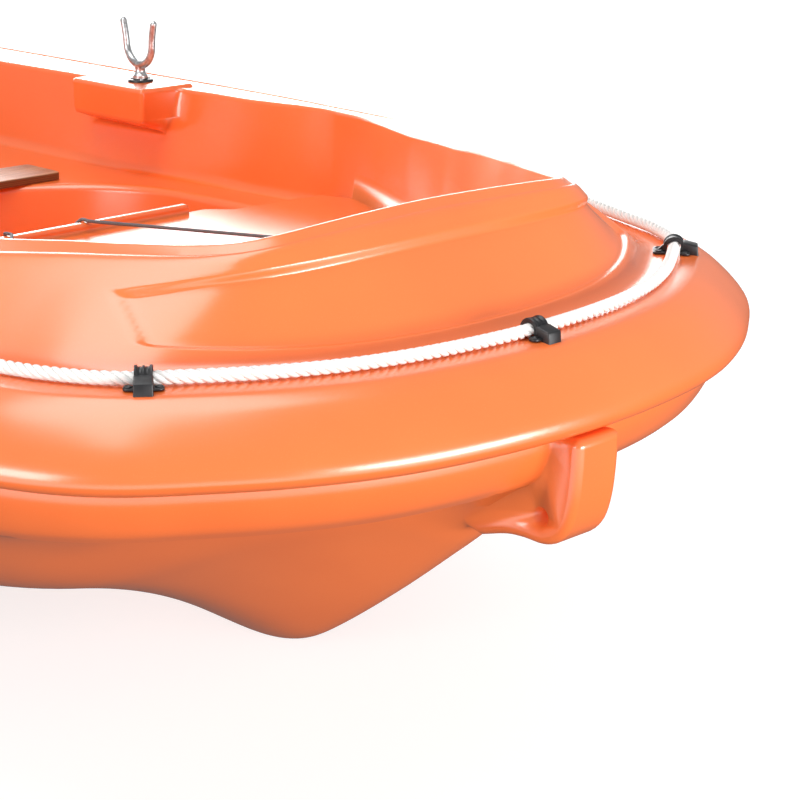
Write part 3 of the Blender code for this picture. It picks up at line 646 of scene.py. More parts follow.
@kept
def board_varnish(made):
    """Varnished plywood: face grain along the board and plies in its edges."""
    fittings = bpy.context.scene.dinghy_fittings
    dark, light = tuple(fittings.wood_dark), tuple(fittings.wood_light)
    rings = (made.noise(made.places((1.0, 14.0, 14.0)), 2.2, 4.0, 0.6) * 26.0).sine() * 0.5 + 0.5
    pores = made.band(made.noise(made.places((6.0, 260.0, 60.0)), 4.0, 3.0), 0.52, 0.70)
    face = made.blend(rings * 0.75, dark, light)
    face = made.blend(pores * 0.45, face, tuple(0.45 * part for part in dark))
    plies = (made.parts(made.places())["Z"] * (math.pi / PLY)).sine() * 0.5 + 0.5
    upright = made.parts(made.node("ShaderNodeNewGeometry")["True Normal"])["Z"].size()
    edge = made.band(upright, 0.4, 0.7, 1.0, 0.0)
    side = made.blend(plies, tuple(0.50 * part for part in dark), tuple(0.85 * part for part in dark))
    return made.shade(Base_Color=made.blend(edge, face, side), Roughness=0.34 + pores * 0.14,
                      Coat_Weight=0.25, Coat_Roughness=0.15,
                      Normal=made.bump((rings, 0.00010), (pores * -1.0, 0.00015)))


# Hull moulding

TOW_HOLE = (-0.040, 0.2765, 0.0105)          # distance aft, height, radius
TOPSIDE_CREASE = ((REBATE_OUT + GAP, REBATE_Z - GAP), (REBATE_OUT + GAP, PARTING_Z - GAP))
TOPSIDE = ((0.057, PARTING_Z - GAP), (0.057, 0.350), (0.051, 0.333), (0.042, 0.318), (0.030, 0.307))
NOSE_SIDE = (
    (-0.088, PARTING_Z - GAP), (-0.086, 0.327), (-0.082, 0.295), (-0.073, 0.268), (-0.058, 0.252),
    (-0.040, 0.2455), (-0.015, 0.2455), (0.010, 0.243), (0.044, 0.233))
NOSE_BACK = ((0.080, 0.240), (0.030, 0.300), (0.005, PARTING_Z - GAP))
NOSE_HALF = 0.032


def underside(half_breadth, aft):
    """Height of the three-lobed bottom: a centre vee and two side runners."""
    keel = keel_at(aft)[0]
    fullness = smooth_step((aft - 0.5) / 1.4)
    vee_round = mix(0.016, 0.050, fullness)
    away_keel = math.hypot(half_breadth, vee_round) - vee_round
    steep = mix(0.66, 0.42, fullness)
    rise = mix(0.150, 0.075, smooth_step((aft - 0.30) / 0.55))
    flare = mix(0.08, 0.03, smooth_step((aft - 0.30) / 0.55))
    vee = keel + rise * math.tanh(steep * away_keel / rise) + flare * away_keel
    runner_x, runner_z = runner_at(aft)
    away = half_breadth - runner_x
    width = mix(5.0, 9.0, smooth_step((aft - 0.4) / 1.0))
    runner = runner_z + width * away * away
    blend = 0.030
    share = min(max(0.5 + 0.5 * (runner - vee) / blend, 0.0), 1.0)
    return max(mix(runner, vee, share) - blend * share * (1.0 - share), 0.0)


def spine_aft(station):
    """Where a station's ribs meet the keel, as a distance aft."""
    return mix(0.30, 2.70, smooth_step(station / STATIONS) * 0.5 + station / STATIONS * 0.5)


def stern_share(station):
    return smooth_step((station - 16.0) / 2.0)


def belt_share(station):
    """How far the fender stands out: full at the bow, less along the sides, none at the stern."""
    side = mix(1.0, 0.82, smooth_step((station - 5.5) / 4.0))
    return mix(side, 0.03, stern_share(station))


def chine_height(station):
    return mix(0.307, 0.270, smooth_step((station - 4.0) / 8.0))


def belt_point(station, out, height):
    return beside_rope(station, out * belt_share(station) if out > 0 else out, height)


def hull_rib(station, share):
    """A point on the bottom, from the chine (0) in to the keel (1)."""
    chine = belt_point(station, TOPSIDE[-1][0], chine_height(station))
    point = chine.lerp(place(0.0, spine_aft(station), 0.0), share)
    bottom = underside(point[0], point[1] - BOW_CLIP_Y)
    bilge = mix(mix(0.34, 0.22, smooth_step((station - 4.0) / 6.0)), 0.02, stern_share(station))
    turn = min(share / bilge, 1.0)
    point[2] = mix(chine[2], min(bottom, chine[2]), math.sin(turn * math.pi / 2))
    return point


def topside_point(station, step, line):
    """The topside above the chine; its foot follows the chine's height along the side."""
    out, height = line[step]
    drop = chine_height(station) - TOPSIDE[-1][1]
    foot_share = (TOPSIDE[0][1] - height) / (TOPSIDE[0][1] - TOPSIDE[-1][1])
    return belt_point(station, out, height + drop * smooth_step(foot_share))


def nose_tool():
    """The stem's moulded nose, which carries the towing hole."""
    side = refined(NOSE_SIDE, 4) + list(NOSE_BACK)
    shape = bmesh.new()
    rows = [[shape.verts.new(place(x, aft, height)) for aft, height in side]
            for x in (-NOSE_HALF, NOSE_HALF)]
    for index in range(len(side)):
        ahead = (index + 1) % len(side)
        shape.faces.new((rows[0][index], rows[0][ahead], rows[1][ahead], rows[1][index]))
    for row in rows:
        shape.faces.new(row)
    bmesh.ops.recalc_face_normals(shape, faces=shape.faces)
    made = object_from("nose_tool", shape, None)
    return rounded(made, 0.009, 6, 50.0)


def lying_post(name, centre, radius, length, sides=40):
    """A cylinder that lies athwartships."""
    shape = bmesh.new()
    bmesh.ops.create_cone(shape, cap_ends=True, segments=sides, radius1=radius, radius2=radius,
                          depth=length)
    turn = Matrix.Rotation(math.radians(90.0), 4, "Y")
    bmesh.ops.transform(shape, matrix=Matrix.Translation(centre) @ turn, verts=shape.verts)
    return object_from(name, shape, None)


RIBS = 64
RIB_EASE = 1.5               # above 1, rows of faces crowd towards the chine


def hull_skin(finish):
    """The lower skin, from the joint inside the fender to the keel."""
    line = refined(TOPSIDE, 4)
    rings = [full_ring(lambda station, out=out, height=height: belt_point(station, out, height))
             for out, height in TOPSIDE_CREASE]
    rings += [full_ring(lambda station, step=step: topside_point(station, step, line))
              for step in range(len(line))]
    rings += [full_ring(lambda station, share=(step / RIBS) ** RIB_EASE: hull_rib(station, share))
              for step in range(1, RIBS + 1)]
    skin = solid_from_rings("hull_skin", rings, finish)
    boolean(skin, nose_tool(), "UNION")
    aft, height, radius = TOW_HOLE
    boolean(skin, lying_post("hole_tool", place(0.0, aft, height), radius, 0.3), "DIFFERENCE")
    for well in (FORE_WELL, AFT_WELL):
        grow = WALL + FIT_GAP
        boolean(skin, well_tool("pocket_tool", well, grow, FLOOR_Z - grow, 0.5), "DIFFERENCE")
    return skin


# Deck moulding: fender, coaming and cockpit in one skin

FENDER_CREASE = ((REBATE_OUT, REBATE_Z), (REBATE_OUT, PARTING_Z))
FENDER = (
    (0.066, PARTING_Z), (0.0775, 0.3672), (0.0860, 0.3720), (0.0895, 0.3795), (0.0870, 0.391),
    (0.0775, 0.405), (0.0640, 0.4195), (0.0490, 0.4330), (0.0380, 0.4405), (0.0270, 0.4455),
    (0.000, FENDER_Z))
COAMING_FOOT = -0.034        # from the lifeline in to the coaming
FOOT_ROUND = 0.014           # fillet between the fender and the coaming
RECESS_DEPTH = 0.007
FORE_WELL = {"front": 0.915, "back": 1.330, "half_front": 0.438, "half_back": 0.415,
             "front_r": 0.040, "back_r": 0.250}
AFT_WELL = {"front": 1.640, "back": 2.420, "half_front": 0.370, "half_back": 0.350,
            "front_r": 0.060, "back_r": 0.080}
WELL_EDGE_R = 0.012
SMALLEST_R = 0.008
PLATFORM_EDGE = ((0.480, 0.862), (0.330, 0.872), (0.300, 0.900), (0.0, 0.900))
BEAD = (0.270, 0.884, 0.9005, 0.405)           # half-length, front, back, top
BOSS = (0.442, 0.545, 1.215, 1.395)            # inner and outer half-breadth, front, back
BOSS_FOOT_Z = 0.430
BOSS_FOOT_X = 0.500
BOSS_TOP_Z = 0.5045
SLEEVE_R = 0.0100
ROWLOCK_AFT = 1.290
ROWLOCK_X = 0.498


def recess_low(station):
    """Share of the coaming's face where the bow recess begins."""
    return 0.090 + 0.0052 * min(station, 5.0) ** 2


def recess_high(station):
    return 0.765 - 0.022 * min(max(station - 3.5, 0.0), 2.3) ** 2


def recess_share(station, share):
    """1 in the sunk panel round the bow, 0 outside it."""
    low, high = recess_low(station), recess_high(station)
    across = smooth_step((share - low) / 0.05) * smooth_step((high - share) / 0.07)
    end = 4.55 + 2.3 * share
    return across * smooth_step((end - station) / 0.35)


def coaming_face(station, share):
    """From the fender (0) up the sloping outer face to the rim (1), with the bow recess."""
    foot = beside_rope(station, COAMING_FOOT, FENDER_Z)
    run = place(*rim_at(station)) - foot
    point = foot + run * share
    overboard = outward(station)
    level = Vector((overboard[0], overboard[1], 0.0))
    normal = (level * run[2] - Vector((0.0, 0.0, level.dot(run)))).normalized()
    point[2] -= 0.010 * max((share - 0.85) / 0.15, 0.0) ** 2
    return point - normal * RECESS_DEPTH * recess_share(station, share)


def foot_fillet(station, step, steps):
    """The hollow corner between the fender's flat top and the coaming's face."""
    corner = beside_rope(station, COAMING_FOOT, FENDER_Z)
    level = beside_rope(station, COAMING_FOOT + FOOT_ROUND, FENDER_Z)
    run = place(*rim_at(station)) - corner
    face = corner + run.normalized() * FOOT_ROUND
    share = step / steps
    return (level * (1 - share) ** 2 + corner * 2 * share * (1 - share) + face * share ** 2)


def rim_width(station):
    start = min(int(station), STATIONS - 1)
    return mix(RIM_WIDTHS[start], RIM_WIDTHS[start + 1], smooth_step(station - start))


def wall_corner(station, share):
    """From the rim's inner edge (0) down to the wall's foot (1)."""
    rim = place(*rim_at(station))
    line = wall_foot_at(station)
    foot = place(line[0], line[1], BENCH_Z)
    inward = Vector((foot[0] - rim[0], foot[1] - rim[1], 0.0)).normalized()
    return (rim + inward * rim_width(station)).lerp(foot, share)


def bench_point(station, share):
    """From the wall's foot (0) in to the centreline (1), flat."""
    line = wall_foot_at(station)
    foot = place(line[0], line[1], BENCH_Z)
    return foot.lerp(place(0.0, mix(0.55, 2.50, station / STATIONS), BENCH_Z), share)


def curved_corner(before, corner, after, step, steps):
    share = step / steps
    return before * (1 - share) ** 2 + corner * 2 * share * (1 - share) + after * share ** 2


INNER_EDGE_R = 0.007         # rounding of the rim's inner edge
WALL_FILLET = 0.016          # fillet at the wall's foot


def inner_edge(station, step, steps):
    corner = wall_corner(station, 0.0)
    outer = coaming_face(station, 0.97)
    back = min(INNER_EDGE_R, (outer - corner).length * 0.5)
    before = corner + (outer - corner).normalized() * back
    after = corner + (wall_corner(station, 1.0) - corner).normalized() * INNER_EDGE_R
    return curved_corner(before, corner, after, step, steps)


def wall_fillet(station, step, steps):
    corner = wall_corner(station, 1.0)
    before = corner + (wall_corner(station, 0.0) - corner).normalized() * WALL_FILLET
    after = corner + (bench_point(station, 1.0) - corner).normalized() * WALL_FILLET
    return curved_corner(before, corner, after, step, steps)


def face_shares(station):
    """Where the face's rings run: close together at the recess's edges."""
    low, high = recess_low(station), recess_high(station)
    shares = [low + 0.05 * step / 6 for step in range(7)]
    shares += [mix(low + 0.05, high - 0.07, step / 10) for step in range(1, 10)]
    shares += [high - 0.07 + 0.07 * step / 6 for step in range(7)]
    shares += [mix(high, 0.86, step / 3) for step in (1, 2, 3)]
    shares += [0.90, 0.93, 0.95, 0.97]
    return shares


def well_outline(front, back, half_front, half_back, front_r, back_r, grow):
    """Plan of a foot well, grown outwards by grow."""
    y_front = BOW_CLIP_Y + front - grow
    y_back = BOW_CLIP_Y + back + grow
    front_r = max(front_r + grow, SMALLEST_R)
    back_r = max(back_r + grow, SMALLEST_R)
    return rounded_outline((
        (half_front + grow, y_front, front_r), (half_back + grow, y_back, back_r),
        (-half_back - grow, y_back, back_r), (-half_front - grow, y_front, front_r)))


def well_tool(name, well, grow, bottom, top, edge_r=0.0):
    """A well's space with sloping sides and a rounded foot; grow makes the tub round it."""
    draft = 0.030
    foot_r = 0.030
    turns = [math.radians(90.0 * step / 8) for step in range(9)]
    levels = [(well_outline(**well, grow=grow - draft - foot_r * (1.0 - math.sin(turn))),
               bottom + foot_r * (1.0 - math.cos(turn))) for turn in turns]
    wall_top = min(top, BENCH_Z) - edge_r
    for step in range(1, 6):
        share = step / 5
        levels.append((well_outline(**well, grow=grow - draft * (1.0 - share)),
                       mix(bottom + foot_r, wall_top, share)))
    if edge_r:
        for turn in turns[1:]:
            levels.append((well_outline(**well, grow=grow + edge_r * (1.0 - math.cos(turn))),
                           BENCH_Z - edge_r * (1.0 - math.sin(turn))))
        levels.append((well_outline(**well, grow=grow + edge_r), top))
    return stacked(name, levels)


def platform_tool():
    """The raised bow deck, with a rounded edge at the fore well."""
    corners = []
    for step in range(5 * 4, 10 * 4 + 1):
        line = wall_foot_at(step / 4)
        corners.append((line[0] + 0.010, line[1]))
    radius = 0.007
    levels = []
    for turn in (0.0, 0.0, 22.5, 45.0, 67.5, 90.0):
        angle = math.radians(turn)
        back = radius * (1.0 - math.cos(angle))
        outline = [(0.0, 0.180), (0.15, 0.182)] + corners
        outline += [(x, aft - back) for x, aft in PLATFORM_EDGE]
        full = outline + [(-x, aft) for x, aft in reversed(outline[1:-1])]
        height = BOW_DECK_Z - radius * (1.0 - math.sin(angle)) if levels else BENCH_Z - 0.010
        levels.append(([(x, BOW_CLIP_Y + aft) for x, aft in full], height))
    return stacked("platform_tool", levels)


def boss_tool(side):
    """The block moulded on the side wall, which carries a rowlock socket."""
    inner, outer, front, back = BOSS
    tops = [(side * inner, front), (side * outer, front), (side * outer, back), (side * inner, back)]
    feet = [(side * BOSS_FOOT_X, front + 0.012), (side * outer, front + 0.012),
            (side * outer, back - 0.012), (side * BOSS_FOOT_X, back - 0.012)]
    levels = [([(x, BOW_CLIP_Y + aft) for x, aft in feet], BOSS_FOOT_Z),
              ([(x, BOW_CLIP_Y + aft) for x, aft in tops], BOSS_FOOT_Z + 0.022),
              ([(x, BOW_CLIP_Y + aft) for x, aft in tops], BOSS_TOP_Z)]
    return rounded(stacked("boss_tool", levels), 0.006, 4, 20.0)


def deck_skin(finish):
    """The upper skin, with the bow deck, the wells and the rowlock bosses."""
    line = refined(FENDER, 4)
    rings = [full_ring(lambda station, out=out, height=height: belt_point(station, out, height))
             for out, height in FENDER_CREASE + tuple(line)]
    rings += [full_ring(lambda station, step=step: foot_fillet(station, step, 6))
              for step in range(7)]
    count = len(face_shares(0.0))
    rings += [full_ring(lambda station, step=step: coaming_face(station, face_shares(station)[step]))
              for step in range(count)]
    rings += [full_ring(lambda station, step=step: inner_edge(station, step, 5)) for step in range(6)]
    rings += [full_ring(lambda station, share=share: wall_corner(station, share))
              for share in (0.3, 0.55)]
    rings += [full_ring(lambda station, step=step: wall_fillet(station, step, 6))
              for step in range(7)]
    rings += [full_ring(lambda station, share=share: bench_point(station, share))
              for share in (0.3, 0.65, 1.0)]
    skin = solid_from_rings("deck_skin", rings, finish)
    boolean(skin, platform_tool(), "UNION")
    half, front, back, top = BEAD
    bead = bar("bead_tool", place(-half, front, BOW_DECK_Z - 0.010), place(half, back, top), 0.006,
               segments=5)
    boolean(skin, bead, "UNION")
    for well in (FORE_WELL, AFT_WELL):
        boolean(skin, well_tool("tub_tool", well, WALL, FLOOR_Z - WALL, BENCH_Z - 0.004), "UNION")
        boolean(skin, well_tool("well_tool", well, 0.0, FLOOR_Z, 0.7, WELL_EDGE_R), "DIFFERENCE")
    for side, _ in SIDES:
        boolean(skin, boss_tool(side), "UNION")
        low, high, radius = BOSS_TOP_Z - 0.050, BOSS_TOP_Z + 0.050, SLEEVE_R + GAP
        hole = turned("socket_hole", place(side * ROWLOCK_X, ROWLOCK_AFT, 0.0),
                      [(0.0, low), (radius, low), (radius, high), (0.0, high)], 40, None)
        boolean(skin, hole, "DIFFERENCE")
    flats = skin.modifiers.new("flats", "WEIGHTED_NORMAL")
    flats.keep_sharp = True
    apply_modifiers(skin)
    return skin


# Geometry Nodes

def new_tree(name, inputs):
    """A Geometry Nodes tree with named inputs: its graph and what it is given."""
    tree = bpy.data.node_groups.new(name, "GeometryNodeTree")
    sockets = {"Geometry": "NodeSocketGeometry", **inputs, "Finish": "NodeSocketMaterial"}
    for label, kind in sockets.items():
        tree.interface.new_socket(label, in_out="INPUT", socket_type=kind)
    tree.interface.new_socket("Geometry", in_out="OUTPUT", socket_type="NodeSocketGeometry")
    graph = Graph(tree)
    return graph, graph.node("NodeGroupInput")


def end_tree(graph, given, geometry):
    """Realize what the tree made, give it its finish and send it out."""
    real = graph.node("GeometryNodeRealizeInstances", None, {"Geometry": geometry})["Geometry"]
    dressed = graph.node("GeometryNodeSetMaterial", None, {"Geometry": real,
                                                           "Material": given["Finish"]})["Geometry"]
    graph.node("NodeGroupOutput", None, {"Geometry": dressed})
    return graph.tree


def grow(made, tree, **values):
    """Run a tree on an object, its inputs set by identifier, and keep the plain mesh."""
    step = made.modifiers.new(tree.name, "NODES")
    step.node_group = tree
    for item in tree.interface.items_tree:
        label = item.name.replace(" ", "_")
        if item.in_out == "INPUT" and label in values:
            step[item.identifier] = values.pop(label)
    if values:
        raise RuntimeError(f"{tree.name} has no input named {sorted(values)}")
    apply_modifiers(made)
    return made


def rope_tree():
    """Strands laid round a path, each with the length along it and the angle round it."""
    graph, given = new_tree("laid_rope", {
        "Strands": "NodeSocketInt", "Lay length": "NodeSocketFloat",
        "Strand circle": "NodeSocketFloat", "Strand radius": "NodeSocketFloat",
        "Sides": "NodeSocketInt", "Steps a lay": "NodeSocketInt"})
    path = graph.node("GeometryNodeMeshToCurve", None, {"Mesh": given["Geometry"]})["Curve"]
    length = graph.node("GeometryNodeCurveLength", None, {"Curve": path})["Length"]
    path = graph.node("GeometryNodeResampleCurve", {"mode": "COUNT"}, {
        "Curve": path, "Count": length / given["Lay length"] * given["Steps a lay"]})["Curve"]
    path = graph.node("GeometryNodeSetCurveNormal", {"mode": "Z_UP"}, {"Curve": path})["Curve"]
    copies = graph.node("GeometryNodeDuplicateElements", {"domain": "SPLINE"},
                        {"Geometry": path, "Amount": given["Strands"]})
    run = graph.node("GeometryNodeSplineParameter")["Length"]
    turn = (run / given["Lay length"] + copies["Duplicate Index"] / given["Strands"]) * math.tau
    along = graph.node("GeometryNodeInputTangent")[0]
    level = graph.node("GeometryNodeInputNormal")[0]
    upright = graph.vector("CROSS_PRODUCT", along, level)[0]

    def around(level_share, upright_share):
        return graph.vector("ADD", graph.vector("MULTIPLY", level, level_share)[0],
                            graph.vector("MULTIPLY", upright, upright_share)[0])[0]

    arm = around(turn.cosine(), turn.sine())
    side = around(turn.sine() * -1.0, turn.cosine())
    strands = copies["Geometry"]
    for label, kind, value in (("run", "FLOAT", run), ("arm", "FLOAT_VECTOR", arm),
                               ("side", "FLOAT_VECTOR", side)):
        strands = graph.node("GeometryNodeStoreNamedAttribute", {"data_type": kind, "domain": "POINT"},
                             {"Geometry": strands, "Name": label, "Value": value})["Geometry"]

    def stored(label, kind="FLOAT_VECTOR"):
        return graph.node("GeometryNodeInputNamedAttribute", {"data_type": kind},
                          {"Name": label})["Attribute"]

    offset = graph.vector("MULTIPLY", stored("arm"), given["Strand circle"])[0]
    strands = graph.node("GeometryNodeSetPosition", None, {"Geometry": strands,
                                                           "Offset": offset})["Geometry"]
    ring = graph.node("GeometryNodeCurvePrimitiveCircle", {"mode": "RADIUS"},
                      {"Resolution": given["Sides"], "Radius": given["Strand radius"]})["Curve"]
    skins = graph.node("GeometryNodeCurveToMesh", None, {"Curve": strands, "Profile Curve": ring,
                                                         "Fill Caps": True})["Mesh"]
    normal = graph.node("GeometryNodeInputNormal")[0]
    angle = graph.node("ShaderNodeMath", {"operation": "ARCTAN2"}, {
        0: graph.vector("DOT_PRODUCT", normal, stored("side"))["Value"],
        1: graph.vector("DOT_PRODUCT", normal, stored("arm"))["Value"]})["Value"]
    lay = graph.node("ShaderNodeCombineXYZ", None, {"X": stored("run", "FLOAT"), "Y": angle})["Vector"]
    skins = graph.node("GeometryNodeStoreNamedAttribute",
                       {"data_type": "FLOAT_VECTOR", "domain": "POINT"},
                       {"Geometry": skins, "Name": LAY_NAME, "Value": lay})["Geometry"]
    for label in ("run", "arm", "side"):
        skins = graph.node("GeometryNodeRemoveAttribute", None, {"Geometry": skins,
                                                                 "Name": label})["Geometry"]
    return end_tree(graph, given, skins)


def scatter_tree(name):
    """One shape on every point, turned by the point's own angles."""
    graph, given = new_tree(name, {"Shape": "NodeSocketObject", "Size": "NodeSocketFloat"})
    shape = graph.node("GeometryNodeObjectInfo", {"transform_space": "ORIGINAL"},
                       {"Object": given["Shape"]})["Geometry"]
    turn = graph.node("GeometryNodeInputNamedAttribute", {"data_type": "FLOAT_VECTOR"},
                      {"Name": "turn"})["Attribute"]
    placed = graph.node("GeometryNodeInstanceOnPoints", None, {
        "Points": given["Geometry"], "Instance": shape, "Rotation": turn,
        "Scale": given["Size"]})["Instances"]
    return end_tree(graph, given, placed)


def scattered(name, shape, spots, finish, size=1.0):
    """Copies of shape at (point, turn) spots, as one plain mesh; the shape is dropped."""
    mesh = bpy.data.meshes.new(name)
    mesh.from_pydata([point for point, _ in spots], [], [])
    turns = mesh.attributes.new("turn", "FLOAT_VECTOR", "POINT")
    for index, (_, turn) in enumerate(spots):
        turns.data[index].vector = turn
    made = bpy.data.objects.new(name, mesh)
    bpy.context.scene.collection.objects.link(made)
    grow(made, scatter_tree(name), Shape=shape, Size=size, Finish=finish)
    bpy.data.objects.remove(shape)
    return made


# Lifeline

ROPE_END = 16.20             # station of the lifeline's last clip
CLIP_PITCH = 0.412


def rope_point(station):
    return beside_rope(station, 0.0, ROPE_Z)


def rope_lengths(samples=40):
    """Length along the lifeline from the stem, at closely spaced stations."""
    stations = [index / samples for index in range(int(ROPE_END * samples) + 1)]
    lengths = [0.0]
    for low, high in zip(stations, stations[1:]):
        lengths.append(lengths[-1] + (rope_point(high) - rope_point(low)).length)
    return stations, lengths


def station_at_length(target):
    stations, lengths = rope_lengths()
    for index, length in enumerate(lengths):
        if length >= target:
            share = (target - lengths[index - 1]) / (length - lengths[index - 1]) if index else 0.0
            return mix(stations[max(index - 1, 0)], stations[index], share)
    return stations[-1]


def path_object(name, points):
    """A mesh of edges only, for a tree that follows it."""
    mesh = bpy.data.meshes.new(name)
    mesh.from_pydata(points, [(index, index + 1) for index in range(len(points) - 1)], [])
    made = bpy.data.objects.new(name, mesh)
    bpy.context.scene.collection.objects.link(made)
    return made


def laid_rope(name, points, rope):
    """Lay strands along the points."""
    made = path_object(name, points)
    grow(made, rope_tree(), Strands=rope.strands, Lay_length=rope.lay_length,
         Strand_circle=rope.strand_circle, Strand_radius=rope.strand_radius, Sides=8,
         Steps_a_lay=12, Finish=rope_fibre())
    made.data.shade_smooth()
    made.data.set_sharp_from_angle(angle=math.radians(60.0))
    return made


def lifeline_path():
    stations = rope_lengths(60)[0]
    port = [rope_point(station) for station in stations]
    return [mirrored(point) for point in reversed(port[1:])] + port


def stopper_knot(name, side, rope):
    """A wall knot: the strands swell out round each other, then end in a whipping."""
    stations = rope_lengths()[0]
    end = rope_point(stations[-1])
    along = (end - rope_point(stations[-3])).normalized()
    level = along.cross(Vector((0.0, 0.0, 1.0))).normalized()
    upright = level.cross(along)
    steps = 40
    pieces = []
    for strand in range(rope.strands):
        path, radii = [], []
        for step in range(steps + 1):
            share = step / steps
            swell = math.sin(math.pi * min(share / 0.80, 1.0)) ** 0.8
            turn = math.tau * (strand / rope.strands + share * 1.15)
            reach = mix(rope.strand_circle, 0.0092, swell) if share < 0.8 else 0.0032
            path.append(end + along * (0.0003 + 0.027 * share) + Vector((0.0, 0.0, 0.0065 * swell))
                        + (level * math.cos(turn) + upright * math.sin(turn)) * reach)
            radii.append(mix(rope.strand_radius, 0.0046, swell) if share < 0.8 else 0.0028)
        path = [Vector((side * point[0], point[1], point[2])) for point in path]
        pieces.append(tube(f"{name}_{strand}", path, tuple(radii), 10, rope_fibre()))
    return join(name, pieces)


# Saddle clips

def extruded(name, outline, low, high, bevel=0.0, finish=None):
    """A (y, z) outline drawn out along X, with rounded edges."""
    shape = bmesh.new()
    rows = [[shape.verts.new((reach, y, z)) for y, z in outline] for reach in (low, high)]
    for index in range(len(outline)):
        ahead = (index + 1) % len(outline)
        shape.faces.new((rows[0][index], rows[0][ahead], rows[1][ahead], rows[1][index]))
    for row in rows:
        shape.faces.new(row)
    bmesh.ops.recalc_face_normals(shape, faces=shape.faces)
    made = object_from(name, shape, finish)
    return rounded(made, bevel, 3, 30.0) if bevel else made


def plate(name, low, high, corner, edge, finish):
    """A flat plate between two corners, with rounded corners in plan and soft edges."""
    outline = rounded_outline(((high[0], low[1], corner), (high[0], high[1], corner),
                               (low[0], high[1], corner), (low[0], low[1], corner)), steps=6)
    made = stacked(name, [(outline, low[2]), (outline, high[2])], finish)
    return rounded(made, edge, 3, 50.0)


CLIP_FOOT_Z = -0.0072        # from the rope's centre down to the fender's top
CLIP_BORE_R = 0.0078


def clip_arch(finish):
    """The saddle over the rope, with a rim at each end and a rib between them."""
    rim, groove, rib = 0.0124, 0.0107, 0.0118
    half = ((0.0000, rib), (0.0008, rib), (0.0014, groove), (0.0052, groove), (0.0058, rim),
            (0.0078, rim), (0.0086, 0.0117))
    sections = [(-x, radius) for x, radius in reversed(half[1:])] + list(half)
    angles = [math.radians(12.0 * step) for step in range(16)]
    shape = bmesh.new()
    rows = []
    for x, radius in sections:
        outline = [(radius, CLIP_FOOT_Z)] + [(radius * math.cos(a), radius * math.sin(a))
                                             for a in angles]
        outline += [(-radius, CLIP_FOOT_Z), (-CLIP_BORE_R, CLIP_FOOT_Z)]
        outline += [(CLIP_BORE_R * math.cos(a), CLIP_BORE_R * math.sin(a)) for a in reversed(angles)]
        outline.append((CLIP_BORE_R, CLIP_FOOT_Z))
        rows.append([shape.verts.new((x, y, z)) for y, z in outline])
    for lower, upper in zip(rows, rows[1:]):
        for index in range(len(lower)):
            ahead = (index + 1) % len(lower)
            shape.faces.new((lower[index], lower[ahead], upper[ahead], upper[index]))
    shape.faces.new(rows[0])
    shape.faces.new(rows[-1])
    bmesh.ops.recalc_face_normals(shape, faces=shape.faces)
    return object_from("clip_arch", shape, finish, 30.0)


def clip_shape(finish):
    """A saddle clip about the rope's centre: X along the rope, Y overboard, Z up."""
    top = CLIP_FOOT_Z + 0.0026
    pieces = [
        clip_arch(finish),
        extruded("clip_block", [(0.0098, CLIP_FOOT_Z), (0.0098, 0.0062), (0.0135, 0.0056),
                                (0.0272, 0.0022), (0.0284, -0.0125), (0.0180, -0.0085)],
                 -0.0092, 0.0092, 0.0014, finish),
        extruded("clip_web", [(-0.0095, CLIP_FOOT_Z), (-0.0095, 0.0040), (-0.0190, -0.0046),
                              (-0.0190, CLIP_FOOT_Z)], -0.0020, 0.0020, 0.0006, finish),
        plate("clip_outer_foot", (-0.0190, 0.0070, CLIP_FOOT_Z), (0.0190, 0.0185, top), 0.0050,
              0.0007, finish),
        plate("clip_inner_foot", (-0.0150, -0.0240, CLIP_FOOT_Z), (0.0150, -0.0070, top), 0.0050,
              0.0007, finish)]
    for x, y in ((0.0142, 0.0124), (-0.0142, 0.0124), (0.0085, -0.0175), (-0.0085, -0.0175)):
        outline = [(0.0, top - 0.0004), (0.0040, top - 0.0004), (0.0040, top + 0.0008),
                   (0.0034, top + 0.0012), (0.0023, top + 0.0012), (0.0019, top + 0.0002),
                   (0.0, top + 0.0002)]
        pieces.append(turned("clip_boss", (x, y), outline, 14, finish))
    return join("clip_shape", pieces)


def clip_spots():
    """Where the clips sit, with the turn that points each one overboard."""
    total = rope_lengths()[1][-1]
    spots = []
    for number in range(int(total / CLIP_PITCH) + 1):
        station = station_at_length(CLIP_PITCH * number)
        overboard = outward(station)
        angle = math.atan2(overboard[1], overboard[0]) - math.pi / 2
        point = rope_point(station)
        spots.append((point, (0.0, 0.0, angle)))
        if number:
            spots.append((mirrored(point), (0.0, 0.0, -angle)))
    return spots


CLIP_NODES = ["clip_bow"] + [f"clip_{word}_{number}" for _, word in SIDES for number in range(1, 8)]


# Rowlocks

PIN_R = 0.0060
PIN_PLAY = 0.0006
FLANGE_T = 0.0035
HORN_R = 0.0058


def rowlock_place(side, height=0.0):
    return place(side * ROWLOCK_X, ROWLOCK_AFT, height)


def rowlock_socket(name, side, finish):
    """The plastic sleeve and flange that a rowlock's pin turns in."""
    top = BOSS_TOP_Z + GAP
    bore = PIN_R + PIN_PLAY
    outline = [(bore, top - 0.046), (SLEEVE_R, top - 0.046), (SLEEVE_R, top), (0.0200, top),
               (0.0200, top + 0.0022), (0.0194, top + 0.0031), (0.0185, top + FLANGE_T),
               (bore + 0.0008, top + FLANGE_T), (bore, top + FLANGE_T - 0.0008)]
    return turned(name, rowlock_place(side), outline, 56, finish)


